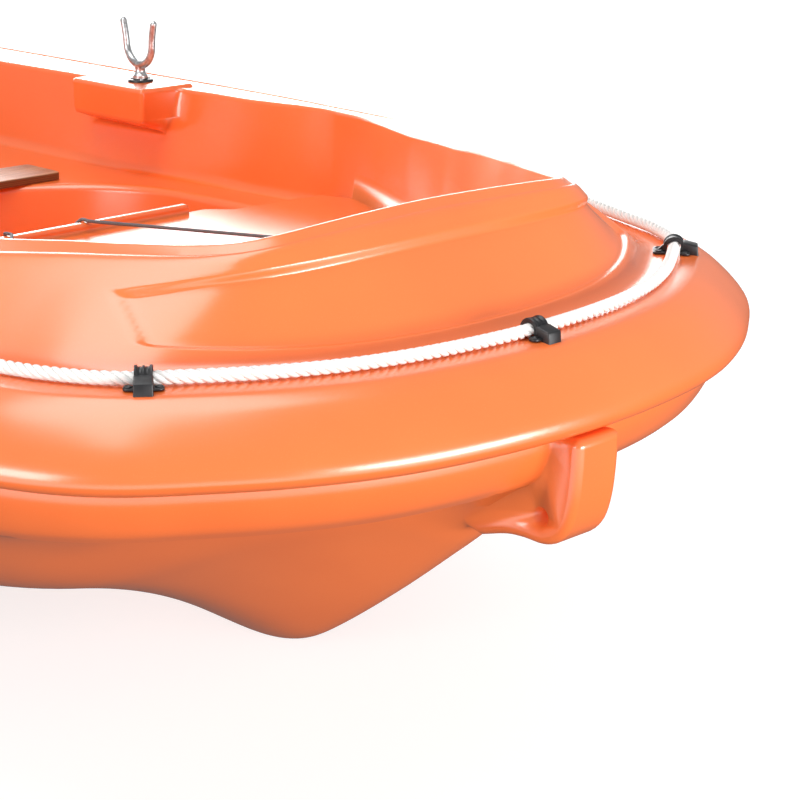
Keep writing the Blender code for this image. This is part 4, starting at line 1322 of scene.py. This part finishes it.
def rowlock(name, side, finish):
    """A horned crutch that turns in its socket."""
    base = BOSS_TOP_Z + GAP + FLANGE_T + GAP
    middle = rowlock_place(side)
    outline = [(0.0, base - 0.050), (PIN_R - 0.0012, base - 0.050), (PIN_R, base - 0.0485),
               (PIN_R, base), (0.0112, base), (0.0118, base + 0.0008), (0.0118, base + 0.0052),
               (0.0108, base + 0.0066), (0.0088, base + 0.0086), (0.0078, base + 0.0120),
               (0.0078, base + 0.0200), (0.0086, base + 0.0225), (0.0, base + 0.0240)]
    shaft = turned(name, middle, outline, 40, finish)
    bow_r, bow_z = 0.032, base + 0.054
    horn = [(0.0395, 0.0375), (0.0380, 0.0330), (0.0350, 0.0200), (0.0328, 0.0080)]
    path = [Vector((middle[0], middle[1] - y, bow_z + z)) for y, z in horn]
    path += [Vector((middle[0], middle[1] - bow_r * math.cos(math.radians(a)),
                     bow_z - bow_r * math.sin(math.radians(a)))) for a in range(5, 176, 10)]
    path += [Vector((middle[0], middle[1] + y, bow_z + z)) for y, z in reversed(horn)]
    path = smooth_path(path, 4)
    count = len(path) - 1
    radii = []
    for index in range(count + 1):
        tip = min(index, count - index)
        middle_share = math.sin(math.pi * index / count) ** 4
        round_end = math.sqrt(1.0 - (1.0 - min((tip + 0.35) / 5.0, 1.0)) ** 2)
        radii.append((mix(HORN_R - 0.0008, HORN_R + 0.0010, middle_share)) * round_end)
    boolean(shaft, tube("horn_tool", path, tuple(radii), 24, None), "UNION")
    return shaft


# Fittings

BOARD = (0.355, 1.309, 0.090, 0.012)
PAD_OUTER = (0.140, 2.9275, 0.0147, 0.180, 0.445)   # half-width, front face, thickness, foot, top
PAD_INNER = (2.0 / 3.0, 0.86, 0.12, 0.008)   # stations each side, shares of the wall, thickness
DRAIN = (0.180, 2.9240, 0.190)
ELASTIC_R = 0.0023
ELASTIC_HOOK = (0.318, 0.500)                # half-breadth and distance aft of a hook on the deck
ELASTIC_BEAD = {"port": 0.100, "starboard": -0.020}   # where each cord crosses the bead
ELASTIC_ANCHOR = (0.040, 0.9195, 0.336)      # middle, front face and foot of the well's anchor
ANCHOR_SIZE = (0.032, 0.008, 0.015)
HANDLE_STATIONS = (15.30, 15.75)


def thwart_board(finish):
    """The wooden board across the fore well's after edge."""
    half, front, width, thick = BOARD
    low = place(-half, front, BENCH_Z + GAP)
    high = place(half, front + width, BENCH_Z + GAP + thick)
    return plate("thwart_board_ply", low, high, 0.0090, 0.0018, finish)


def transom_outer(finish):
    """The outboard's outer pad: a ribbed plate with rounded corners."""
    half, front, thick, foot, top = PAD_OUTER
    y0 = BOW_CLIP_Y + front
    corner = 0.014
    outline = rounded_outline(((half, foot, corner), (half, top, corner), (-half, top, corner),
                               (-half, foot, corner)), steps=8)
    shape = bmesh.new()
    depths = ((0.0, y0), (0.0, y0 + thick - 0.0040), (0.0012, y0 + thick - 0.0020),
              (0.0040, y0 + thick - 0.0020))
    rows = []
    for inset, y in depths:
        scale_x, scale_z = 1.0 - inset / half, 1.0 - 2.0 * inset / (top - foot)
        middle = (foot + top) / 2
        rows.append([shape.verts.new((x * scale_x, y, middle + (z - middle) * scale_z))
                     for x, z in outline])
    for lower, upper in zip(rows, rows[1:]):
        for index in range(len(lower)):
            ahead = (index + 1) % len(lower)
            shape.faces.new((lower[index], lower[ahead], upper[ahead], upper[index]))
    shape.faces.new(rows[0])
    shape.faces.new(rows[-1])
    bmesh.ops.recalc_face_normals(shape, faces=shape.faces)
    slab = rounded(object_from("pad_slab", shape, finish), 0.0008, 2, 40.0)
    rib = plate("pad_rib", Vector((-half + 0.022, -0.0025, -0.0035)),
                Vector((half - 0.022, 0.0020, 0.0035)), 0.0015, 0.0010, finish)
    count = 13
    spots = [(Vector((0.0, y0 + thick - 0.0020, mix(foot + 0.034, top - 0.034, step / (count - 1)))),
              (0.0, 0.0, 0.0)) for step in range(count)]
    return join("transom_outer_pad", [slab, scattered("pad_ribs", rib, spots, finish)])


def inner_pad_point(station, share, away):
    return wall_corner(station, share) - Vector((0.0, away, 0.0))


def transom_inner(finish):
    """The plate inside the transom's top, shaped to the wall behind it."""
    reach, low, high, thick = PAD_INNER
    steps, rises = 18, 12
    stations = [STATIONS - reach * step / steps for step in range(steps, -1, -1)]
    shape = bmesh.new()
    layers = []
    for away in (FIT_GAP, FIT_GAP + thick):
        rows = []
        for rise in range(rises + 1):
            share = mix(low, high, rise / rises)
            points = [inner_pad_point(station, share, away) for station in stations]
            points[-1][0] = 0.0
            points += [mirrored(point) for point in reversed(points[:-1])]
            rows.append([shape.verts.new(point) for point in points])
        layers.append(rows)
    for rows in layers:
        for lower, upper in zip(rows, rows[1:]):
            for step in range(len(lower) - 1):
                shape.faces.new((lower[step], lower[step + 1], upper[step + 1], upper[step]))
    border = [[row[0] for row in rows] + rows[-1][1:] + [row[-1] for row in reversed(rows[:-1])]
              + list(reversed(rows[0][1:-1])) for rows in layers]
    for step in range(len(border[0])):
        ahead = (step + 1) % len(border[0])
        shape.faces.new((border[0][step], border[0][ahead], border[1][ahead], border[1][step]))
    bmesh.ops.recalc_face_normals(shape, faces=shape.faces)
    return rounded(object_from("transom_inner_pad", shape, finish), 0.0015, 3, 60.0)


def lying(made, centre):
    """Turn an upright piece made about the origin to point aft, and put it at centre."""
    turn = Matrix.Rotation(math.radians(-90.0), 4, "X")
    made.data.transform(Matrix.Translation(centre) @ turn)
    return made


def drain(finish):
    """The drain socket in the transom, and the plug screwed into it with its turning bar."""
    origin = Vector((0.0, 0.0, 0.0))
    flange = turned("drain_socket", origin, [
        (0.0125, 0.0), (0.0300, 0.0), (0.0300, 0.0026), (0.0292, 0.0036), (0.0268, 0.0048),
        (0.0135, 0.0050), (0.0125, 0.0044)], 56, finish)
    plug = turned("drain_screw_plug", origin, [
        (0.0, 0.0010), (0.0120, 0.0010), (0.0120, 0.0053), (0.0172, 0.0053), (0.0180, 0.0060),
        (0.0180, 0.0108), (0.0172, 0.0116), (0.0110, 0.0118), (0.0104, 0.0100), (0.0, 0.0100)],
        48, finish)
    wing = bar("drain_wing", Vector((-0.0108, -0.0022, 0.0090)), Vector((0.0108, 0.0022, 0.0138)),
               0.0012, finish, 3)
    plug = join("drain_screw_plug", [plug, wing])
    return lying(flange, place(*DRAIN)), lying(plug, place(*DRAIN))


def mushroom_hook(name, side, finish):
    """A hook on the bow deck for one elastic cord."""
    half, aft = ELASTIC_HOOK
    foot = BOW_DECK_Z + GAP
    outline = [(0.0, foot), (0.0110, foot), (0.0110, foot + 0.0012), (0.0102, foot + 0.0021),
               (0.0062, foot + 0.0030), (0.0050, foot + 0.0044), (0.0050, foot + 0.0090),
               (0.0062, foot + 0.0104), (0.0098, foot + 0.0112), (0.0106, foot + 0.0120),
               (0.0102, foot + 0.0134), (0.0080, foot + 0.0148), (0.0040, foot + 0.0155),
               (0.0, foot + 0.0156)]
    return turned(name, place(side * half, aft, 0.0), outline, 40, finish)


def cord_anchor(finish):
    """The block on the well's front wall that both cords pull on."""
    middle, front, foot = ELASTIC_ANCHOR
    width, depth, height = ANCHOR_SIZE
    return bar("cord_anchor", place(middle - width / 2, front, foot),
               place(middle + width / 2, front + depth, foot + height), 0.002, finish, 4)


def elastic_cord(name, side, crossing, finish):
    """One cord: up from the anchor, over the bead and forward to its hook."""
    middle, front, foot = ELASTIC_ANCHOR
    _, depth, height = ANCHOR_SIZE
    _, bead_front, bead_back, bead_top = BEAD
    over = bead_top + ELASTIC_R + GAP
    hook = place(side * ELASTIC_HOOK[0], ELASTIC_HOOK[1], BOW_DECK_Z + 0.0067)
    near = place(crossing, bead_front, over)
    toward = (near - hook).normalized()
    start = place(middle + side * 0.008, front + depth * 0.6, foot + height + ELASTIC_R)
    path = [start, place(mix(middle, crossing, 0.55), bead_back + 0.0100, bead_top - 0.026),
            place(mix(middle, crossing, 0.90), bead_back + 0.0045, bead_top - 0.004),
            place(crossing, bead_back - 0.001, over - 0.0004), near]
    path += [near.lerp(hook, share) for share in (0.25, 0.5, 0.75)]
    path.append(hook + toward * (0.0050 + GAP))
    cord = tube(name, smooth_path(path, 6), ELASTIC_R, 14, finish)
    loop = [Vector((hook[0] + 0.0075 * math.cos(math.tau * step / 40),
                    hook[1] + 0.0075 * math.sin(math.tau * step / 40), hook[2])) for step in range(40)]
    return join(name, [cord, tube("cord_loop", loop + loop[:1], ELASTIC_R, 12, finish)])


def stern_handle(name, side, finish):
    """A grab handle on the coaming's flat top near the quarter."""
    ends = [rim_at(station) for station in HANDLE_STATIONS]
    front, back = (place(side * (end[0] - 0.045), end[1], end[2] + GAP) for end in ends)
    rise = Vector((0.0, 0.0, 0.034))
    along = (back - front).normalized()
    path = [front, front + rise * 0.45, front + rise * 0.8 + along * 0.006,
            front + rise + along * 0.018, back + rise - along * 0.018,
            back + rise * 0.8 - along * 0.006, back + rise * 0.45, back]
    pieces = [tube(name, smooth_path(path, 6), 0.0065, 24, finish)]
    for foot in (front, back):
        outline = [(0.0, 0.0), (0.0135, 0.0), (0.0135, 0.0020), (0.0122, 0.0034), (0.0086, 0.0046),
                   (0.0070, 0.0080), (0.0, 0.0080)]
        outline = [(radius, foot[2] + height) for radius, height in outline]
        pieces.append(turned("handle_foot", foot, outline, 32, finish))
    return join(name, pieces)


def screw_shape(finish):
    """A pan-head screw with a cross recess; its head stands up from the origin."""
    head = turned("screw_shape", Vector((0.0, 0.0, 0.0)), [
        (0.0, -0.0010), (0.0034, -0.0010), (0.0034, 0.0006), (0.0030, 0.0014), (0.0018, 0.0019),
        (0.0, 0.0020)], 20, finish)
    for turn in (0.0, 90.0):
        slot = bar("slot_tool", Vector((-0.0019, -0.00045, 0.0008)), Vector((0.0019, 0.00045, 0.01)),
                   0.0)
        slot.data.transform(Matrix.Rotation(math.radians(turn), 4, "Z"))
        boolean(head, slot, "DIFFERENCE")
    return head


AFT_TURN = (math.radians(-90.0), 0.0, 0.0)   # a screw's head points aft


def screw_spots():
    """Every visible screw: its point and its turn."""
    spots = []
    half, front, thick, foot, top = PAD_OUTER
    for x in (-half + 0.010, half - 0.010):
        for z in (foot + 0.012, (foot + top) / 2, top - 0.012):
            spots.append((place(x, front + thick - 0.0020, z), AFT_TURN))
    for step in range(3):
        angle = math.tau * (step + 0.25) / 3
        spots.append((place(DRAIN[0] + 0.0235 * math.cos(angle), DRAIN[1] + 0.0048,
                            DRAIN[2] + 0.0235 * math.sin(angle)), AFT_TURN))
    for side, _ in SIDES:
        middle = rowlock_place(side, BOSS_TOP_Z + GAP + FLANGE_T)
        for step in range(3):
            angle = math.tau * step / 3
            spots.append((middle + Vector((math.cos(angle), math.sin(angle), 0.0)) * 0.0155,
                          (0.0, 0.0, 0.7 * step)))
        hook_half, hook_aft = ELASTIC_HOOK
        spots.append((place(side * hook_half, hook_aft, BOW_DECK_Z + GAP + 0.0156), (0.0, 0.0, 0.4)))
    reach, low, high, thick = PAD_INNER
    for station in (STATIONS - reach * 0.85, STATIONS - reach * 0.12):
        for share in (mix(low, high, 0.14), mix(low, high, 0.86)):
            point = inner_pad_point(station, share, FIT_GAP + thick)
            up = inner_pad_point(station, share - 0.01, 0.0) - inner_pad_point(station, share, 0.0)
            turn = (math.atan2(up[2], up[1]), 0.0, 0.0)
            spots += [(point, turn), (mirrored(point), turn)]
    return spots


# Settings, operators and panel

class DinghySkin(bpy.types.PropertyGroup):
    colour: FloatVectorProperty(name="Colour", description="Colour of the moulded skins",
                                subtype="COLOR", default=(1.0, 0.205, 0.045), min=0.0, max=1.0)
    deep_colour: FloatVectorProperty(name="Deep colour", description="Colour of its darker patches",
                                     subtype="COLOR", default=(0.93, 0.175, 0.036), min=0.0, max=1.0)
    roughness: FloatProperty(name="Roughness", description="Gloss of the skins; 0 is a mirror",
                             subtype="FACTOR", default=0.24, min=0.1, max=0.9)
    waviness: FloatProperty(name="Waviness", description="Height of the moulding's faint waves",
                            subtype="DISTANCE", unit="LENGTH", default=0.0005, min=0.0, max=0.01)


class DinghyRope(bpy.types.PropertyGroup):
    strands: IntProperty(name="Strands", description="Strands in the lifeline", default=4, min=3, max=6)
    lay_length: FloatProperty(name="Lay length", description="Length of one turn of a strand",
                              subtype="DISTANCE", unit="LENGTH", default=0.039, min=0.02, max=0.1)
    strand_circle: FloatProperty(name="Strand circle", description="From the rope's middle to a strand's",
                                 subtype="DISTANCE", unit="LENGTH", default=0.0041, min=0.002, max=0.01)
    strand_radius: FloatProperty(name="Strand radius", description="Radius of one strand",
                                 subtype="DISTANCE", unit="LENGTH", default=0.0030, min=0.001, max=0.01)
    colour: FloatVectorProperty(name="Colour", description="Colour of the clean fibre",
                                subtype="COLOR", default=(0.90, 0.89, 0.87), min=0.0, max=1.0)


class DinghyFittings(bpy.types.PropertyGroup):
    screw_size: FloatProperty(name="Screw size", description="Scale of the screws' heads",
                              default=1.0, min=0.5, max=2.0)
    wood_light: FloatVectorProperty(name="Light wood", description="Face veneer between the rings",
                                    subtype="COLOR", default=(0.46, 0.22, 0.085), min=0.0, max=1.0)
    wood_dark: FloatVectorProperty(name="Dark wood", description="Rings of the face veneer",
                                   subtype="COLOR", default=(0.25, 0.105, 0.040), min=0.0, max=1.0)


class DinghyStage(bpy.types.PropertyGroup):
    floor_colour: FloatVectorProperty(name="Floor", description="Colour of the floor",
                                      subtype="COLOR", default=(0.36, 0.36, 0.36), min=0.0, max=1.0)
    floor_glow: FloatProperty(name="Floor glow", description="Light that comes through the floor's paper",
                              default=0.78, min=0.0, max=2.0)
    world_light: FloatProperty(name="Room light", description="Strength of the light from above",
                               default=0.42, min=0.0, max=3.0)
    under_light: FloatProperty(name="Light from below", description="Strength of the light from below",
                               default=0.16, min=0.0, max=3.0)
    wall_light: FloatProperty(name="Wall light", description="Strength of the bright wall behind",
                              default=9.0, min=0.0, max=20.0)
    low_light: FloatProperty(name="Low light", description="Strength of the band low before the boat",
                             default=1.8, min=0.0, max=20.0)
    lamp_power: FloatProperty(name="Lamp power", description="Scale of the softboxes' power",
                              default=1.0, min=0.0, max=5.0)


class DINGHY_OT_hull(bpy.types.Operator):
    """Make the lower skin with the stem's nose and towing hole"""
    bl_idname = "dinghy.hull"
    bl_label = "Hull skin"

    def execute(self, context):
        settle(hull_skin(orange_skin()), "orange_polyethylene", "hull_moulding")
        return {"FINISHED"}


class DINGHY_OT_deck(bpy.types.Operator):
    """Make the upper skin: fender, coaming, bow deck, wells and rowlock bosses"""
    bl_idname = "dinghy.deck"
    bl_label = "Deck skin"

    def execute(self, context):
        settle(deck_skin(orange_skin()), "orange_polyethylene", "deck_moulding")
        return {"FINISHED"}


class DINGHY_OT_lifeline(bpy.types.Operator):
    """Lay the lifeline's strands round the boat and knot its ends"""
    bl_idname = "dinghy.lifeline"
    bl_label = "Lifeline"

    def execute(self, context):
        rope = context.scene.dinghy_rope
        settle(laid_rope("laid_lifeline", lifeline_path(), rope), "white_rope", "lifeline")
        for side, word in SIDES:
            settle(stopper_knot(f"stopper_{word}", side, rope), "white_rope",
                   f"lifeline_knot_{word}")
        return {"FINISHED"}


class DINGHY_OT_clips(bpy.types.Operator):
    """Set a saddle clip at every pitch along the lifeline"""
    bl_idname = "dinghy.clips"
    bl_label = "Saddle clips"

    def execute(self, context):
        finish = black_moulding()
        clips = scattered("saddle_clips", clip_shape(finish), clip_spots(), finish)
        settle(clips, "black_plastic", *CLIP_NODES)
        return {"FINISHED"}


class DINGHY_OT_rowlocks(bpy.types.Operator):
    """Make the rowlocks, each on its own body, and their sockets"""
    bl_idname = "dinghy.rowlocks"
    bl_label = "Rowlocks"

    def execute(self, context):
        for side, word in SIDES:
            settle(rowlock(f"crutch_{word}", side, galvanised_bar()), "galvanised_steel",
                   f"rowlock_{word}", body=f"rowlock_{word}")
            settle(rowlock_socket(f"crutch_socket_{word}", side, black_moulding()), "black_plastic",
                   f"rowlock_socket_{word}")
        return {"FINISHED"}


class DINGHY_OT_cockpit(bpy.types.Operator):
    """Make the seat board, the elastic cords with their hooks, and the grab handles"""
    bl_idname = "dinghy.cockpit"
    bl_label = "Cockpit gear"

    def execute(self, context):
        black = black_moulding()
        settle(thwart_board(board_varnish()), "varnished_board", "thwart_board")
        settle(cord_anchor(black), "black_plastic", "elastic_anchor")
        for side, word in SIDES:
            settle(mushroom_hook(f"cord_hook_{word}", side, black), "black_plastic",
                   f"elastic_hook_{word}")
            settle(elastic_cord(f"deck_cord_{word}", side, ELASTIC_BEAD[word], elastic_braid()),
                   "grey_elastic", f"elastic_{word}")
            settle(stern_handle(f"grab_handle_{word}", side, black), "black_plastic",
                   f"stern_handle_{word}")
        return {"FINISHED"}


class DINGHY_OT_transom(bpy.types.Operator):
    """Make the outboard's two pads, the drain socket and its plug"""
    bl_idname = "dinghy.transom"
    bl_label = "Transom fittings"

    def execute(self, context):
        black = black_moulding()
        settle(transom_outer(black), "black_plastic", "transom_pad_outer")
        settle(transom_inner(black), "black_plastic", "transom_pad_inner")
        socket, plug = drain(black)
        settle(socket, "black_plastic", "drain_flange")
        settle(plug, "black_plastic", "drain_plug")
        return {"FINISHED"}


class DINGHY_OT_screws(bpy.types.Operator):
    """Set the screws of the pads, drain, sockets and hooks"""
    bl_idname = "dinghy.screws"
    bl_label = "Screws"

    def execute(self, context):
        finish = screw_steel()
        screws = scattered("fitting_screws", screw_shape(finish), screw_spots(), finish,
                           context.scene.dinghy_fittings.screw_size)
        settle(screws, "galvanised_steel")
        return {"FINISHED"}


CAMERA_PLACE = (-1.485, -2.7721, 1.004)
CAMERA_TURN = (72.7, 0.0, -44.0)             # degrees
CAMERA_LENS = 94.635                         # mm on a 36 mm sensor
LAMPS = (
    # name, place, aimed at, width, height, power
    ("overhead", (-0.6, -0.6, 3.4), (0.0, -0.5, 0.4), 2.4, 2.4, 62.0),
    ("left_box", (-3.8, -0.9, 1.10), (0.0, -0.9, 0.4), 2.2, 1.5, 76.0),
    ("bow_box", (0.5, -4.3, 0.45), (0.0, -1.2, 0.3), 2.4, 0.8, 100.0))
BACK_WAY = (0.439, 0.899, 0.0)               # level, away from the camera and a little to its left
FRONT_WAY = (-0.695, -0.719, 0.0)            # level, towards the camera's side


def floor_finish(colour, glow):
    """Studio paper: plain, with a trace of tooth, lit through from below."""
    made = Finish("studio_paper")
    tooth = made.noise(made.places(), 220.0)
    made.shader.inputs["Emission Strength"].default_value = glow
    return made.shade(Base_Color=colour, Emission_Color=(1.0, 1.0, 1.0),
                      Roughness=0.80 + tooth * 0.10, Normal=made.bump((tooth, 0.00005)))


def studio_world(stage):
    """A pale room: dim below, soft above, and a bright wall behind the boat."""
    world = bpy.data.worlds.new("studio")
    world.use_nodes = True
    graph = Graph(world.node_tree)
    way = graph.node("ShaderNodeTexCoord")["Generated"]
    height = graph.parts(way)["Z"]
    behind = graph.vector("DOT_PRODUCT", way, BACK_WAY)["Value"]

    def ease(value, low, high, out_low, out_high):
        return graph.node("ShaderNodeMapRange", {"interpolation_type": "SMOOTHSTEP"}, {
            "Value": value, "From Min": low, "From Max": high, "To Min": out_low,
            "To Max": out_high})["Result"]

    room = ease(height, -0.25, 0.25, stage.under_light, stage.world_light)
    wall = (ease(behind, 0.84, 0.92, 0.0, stage.wall_light) * ease(height, 0.0, 0.06, 0.0, 1.0)
            * ease(height, 0.42, 0.70, 1.0, 0.0))
    before = graph.vector("DOT_PRODUCT", way, FRONT_WAY)["Value"]
    strip = (ease(before, -0.10, 0.45, 0.0, stage.low_light) * ease(height, -0.52, -0.36, 0.0, 1.0)
             * ease(height, -0.16, -0.04, 1.0, 0.0))
    sky = graph.tree.nodes["Background"]
    sky.inputs["Color"].default_value = (1.0, 1.0, 1.0, 1.0)
    graph.put(sky.inputs["Strength"], room + wall + strip)
    return world


class DINGHY_OT_stage(bpy.types.Operator):
    """Set the floor, the soft lamps, the world and the camera"""
    bl_idname = "dinghy.stage"
    bl_label = "Stage"

    def execute(self, context):
        stage = context.scene.dinghy_stage
        shape = bmesh.new()
        bmesh.ops.create_grid(shape, x_segments=1, y_segments=1, size=30.0)
        floor = object_from("studio_floor", shape,
                            floor_finish(tuple(stage.floor_colour), stage.floor_glow))
        floor.data.transform(Matrix.Translation((0.0, 0.0, -0.001)))
        floor.visible_diffuse = False
        floor.visible_glossy = False
        context.scene.world = studio_world(stage)
        for name, spot, aim, width, height, power in LAMPS:
            light = bpy.data.lights.new(name, "AREA")
            light.shape = "RECTANGLE"
            light.size, light.size_y = width, height
            light.energy = power * stage.lamp_power
            lamp = bpy.data.objects.new(name, light)
            lamp.location = spot
            lamp.rotation_euler = (Vector(aim) - Vector(spot)).to_track_quat("-Z", "Y").to_euler()
            context.scene.collection.objects.link(lamp)
        view = bpy.data.cameras.new("photo_view")
        view.lens = CAMERA_LENS
        view.sensor_width = 36.0
        view.clip_start = 0.05
        camera = bpy.data.objects.new("photo_view", view)
        camera.location = CAMERA_PLACE
        camera.rotation_euler = [math.radians(angle) for angle in CAMERA_TURN]
        context.scene.collection.objects.link(camera)
        context.scene.camera = camera
        context.scene.view_settings.view_transform = "Standard"
        return {"FINISHED"}


GROUPS = (("dinghy_skin", DinghySkin), ("dinghy_rope", DinghyRope),
          ("dinghy_fittings", DinghyFittings), ("dinghy_stage", DinghyStage))
OPERATORS = (DINGHY_OT_hull, DINGHY_OT_deck, DINGHY_OT_lifeline, DINGHY_OT_clips,
             DINGHY_OT_rowlocks, DINGHY_OT_cockpit, DINGHY_OT_transom, DINGHY_OT_screws,
             DINGHY_OT_stage)


class DINGHY_PT_panel(bpy.types.Panel):
    bl_idname = "DINGHY_PT_panel"
    bl_label = "Dinghy"
    bl_space_type = "VIEW_3D"
    bl_region_type = "UI"
    bl_category = "Dinghy"

    def draw(self, context):
        for name, group in GROUPS:
            box = self.layout.box()
            for key in group.__annotations__:
                box.prop(getattr(context.scene, name), key)
        for operator in OPERATORS:
            self.layout.operator(operator.bl_idname)


def register():
    for name, group in GROUPS:
        bpy.utils.register_class(group)
        setattr(bpy.types.Scene, name, PointerProperty(type=group))
    for item in OPERATORS + (DINGHY_PT_panel,):
        bpy.utils.register_class(item)


def unregister():
    for item in reversed(OPERATORS + (DINGHY_PT_panel,)):
        bpy.utils.unregister_class(item)
    for name, group in GROUPS:
        delattr(bpy.types.Scene, name)
        bpy.utils.unregister_class(group)


def main():
    register()
    for operator in OPERATORS:
        getattr(bpy.ops.dinghy, operator.bl_idname.partition(".")[2])()


if __name__ == "__main__":
    main()
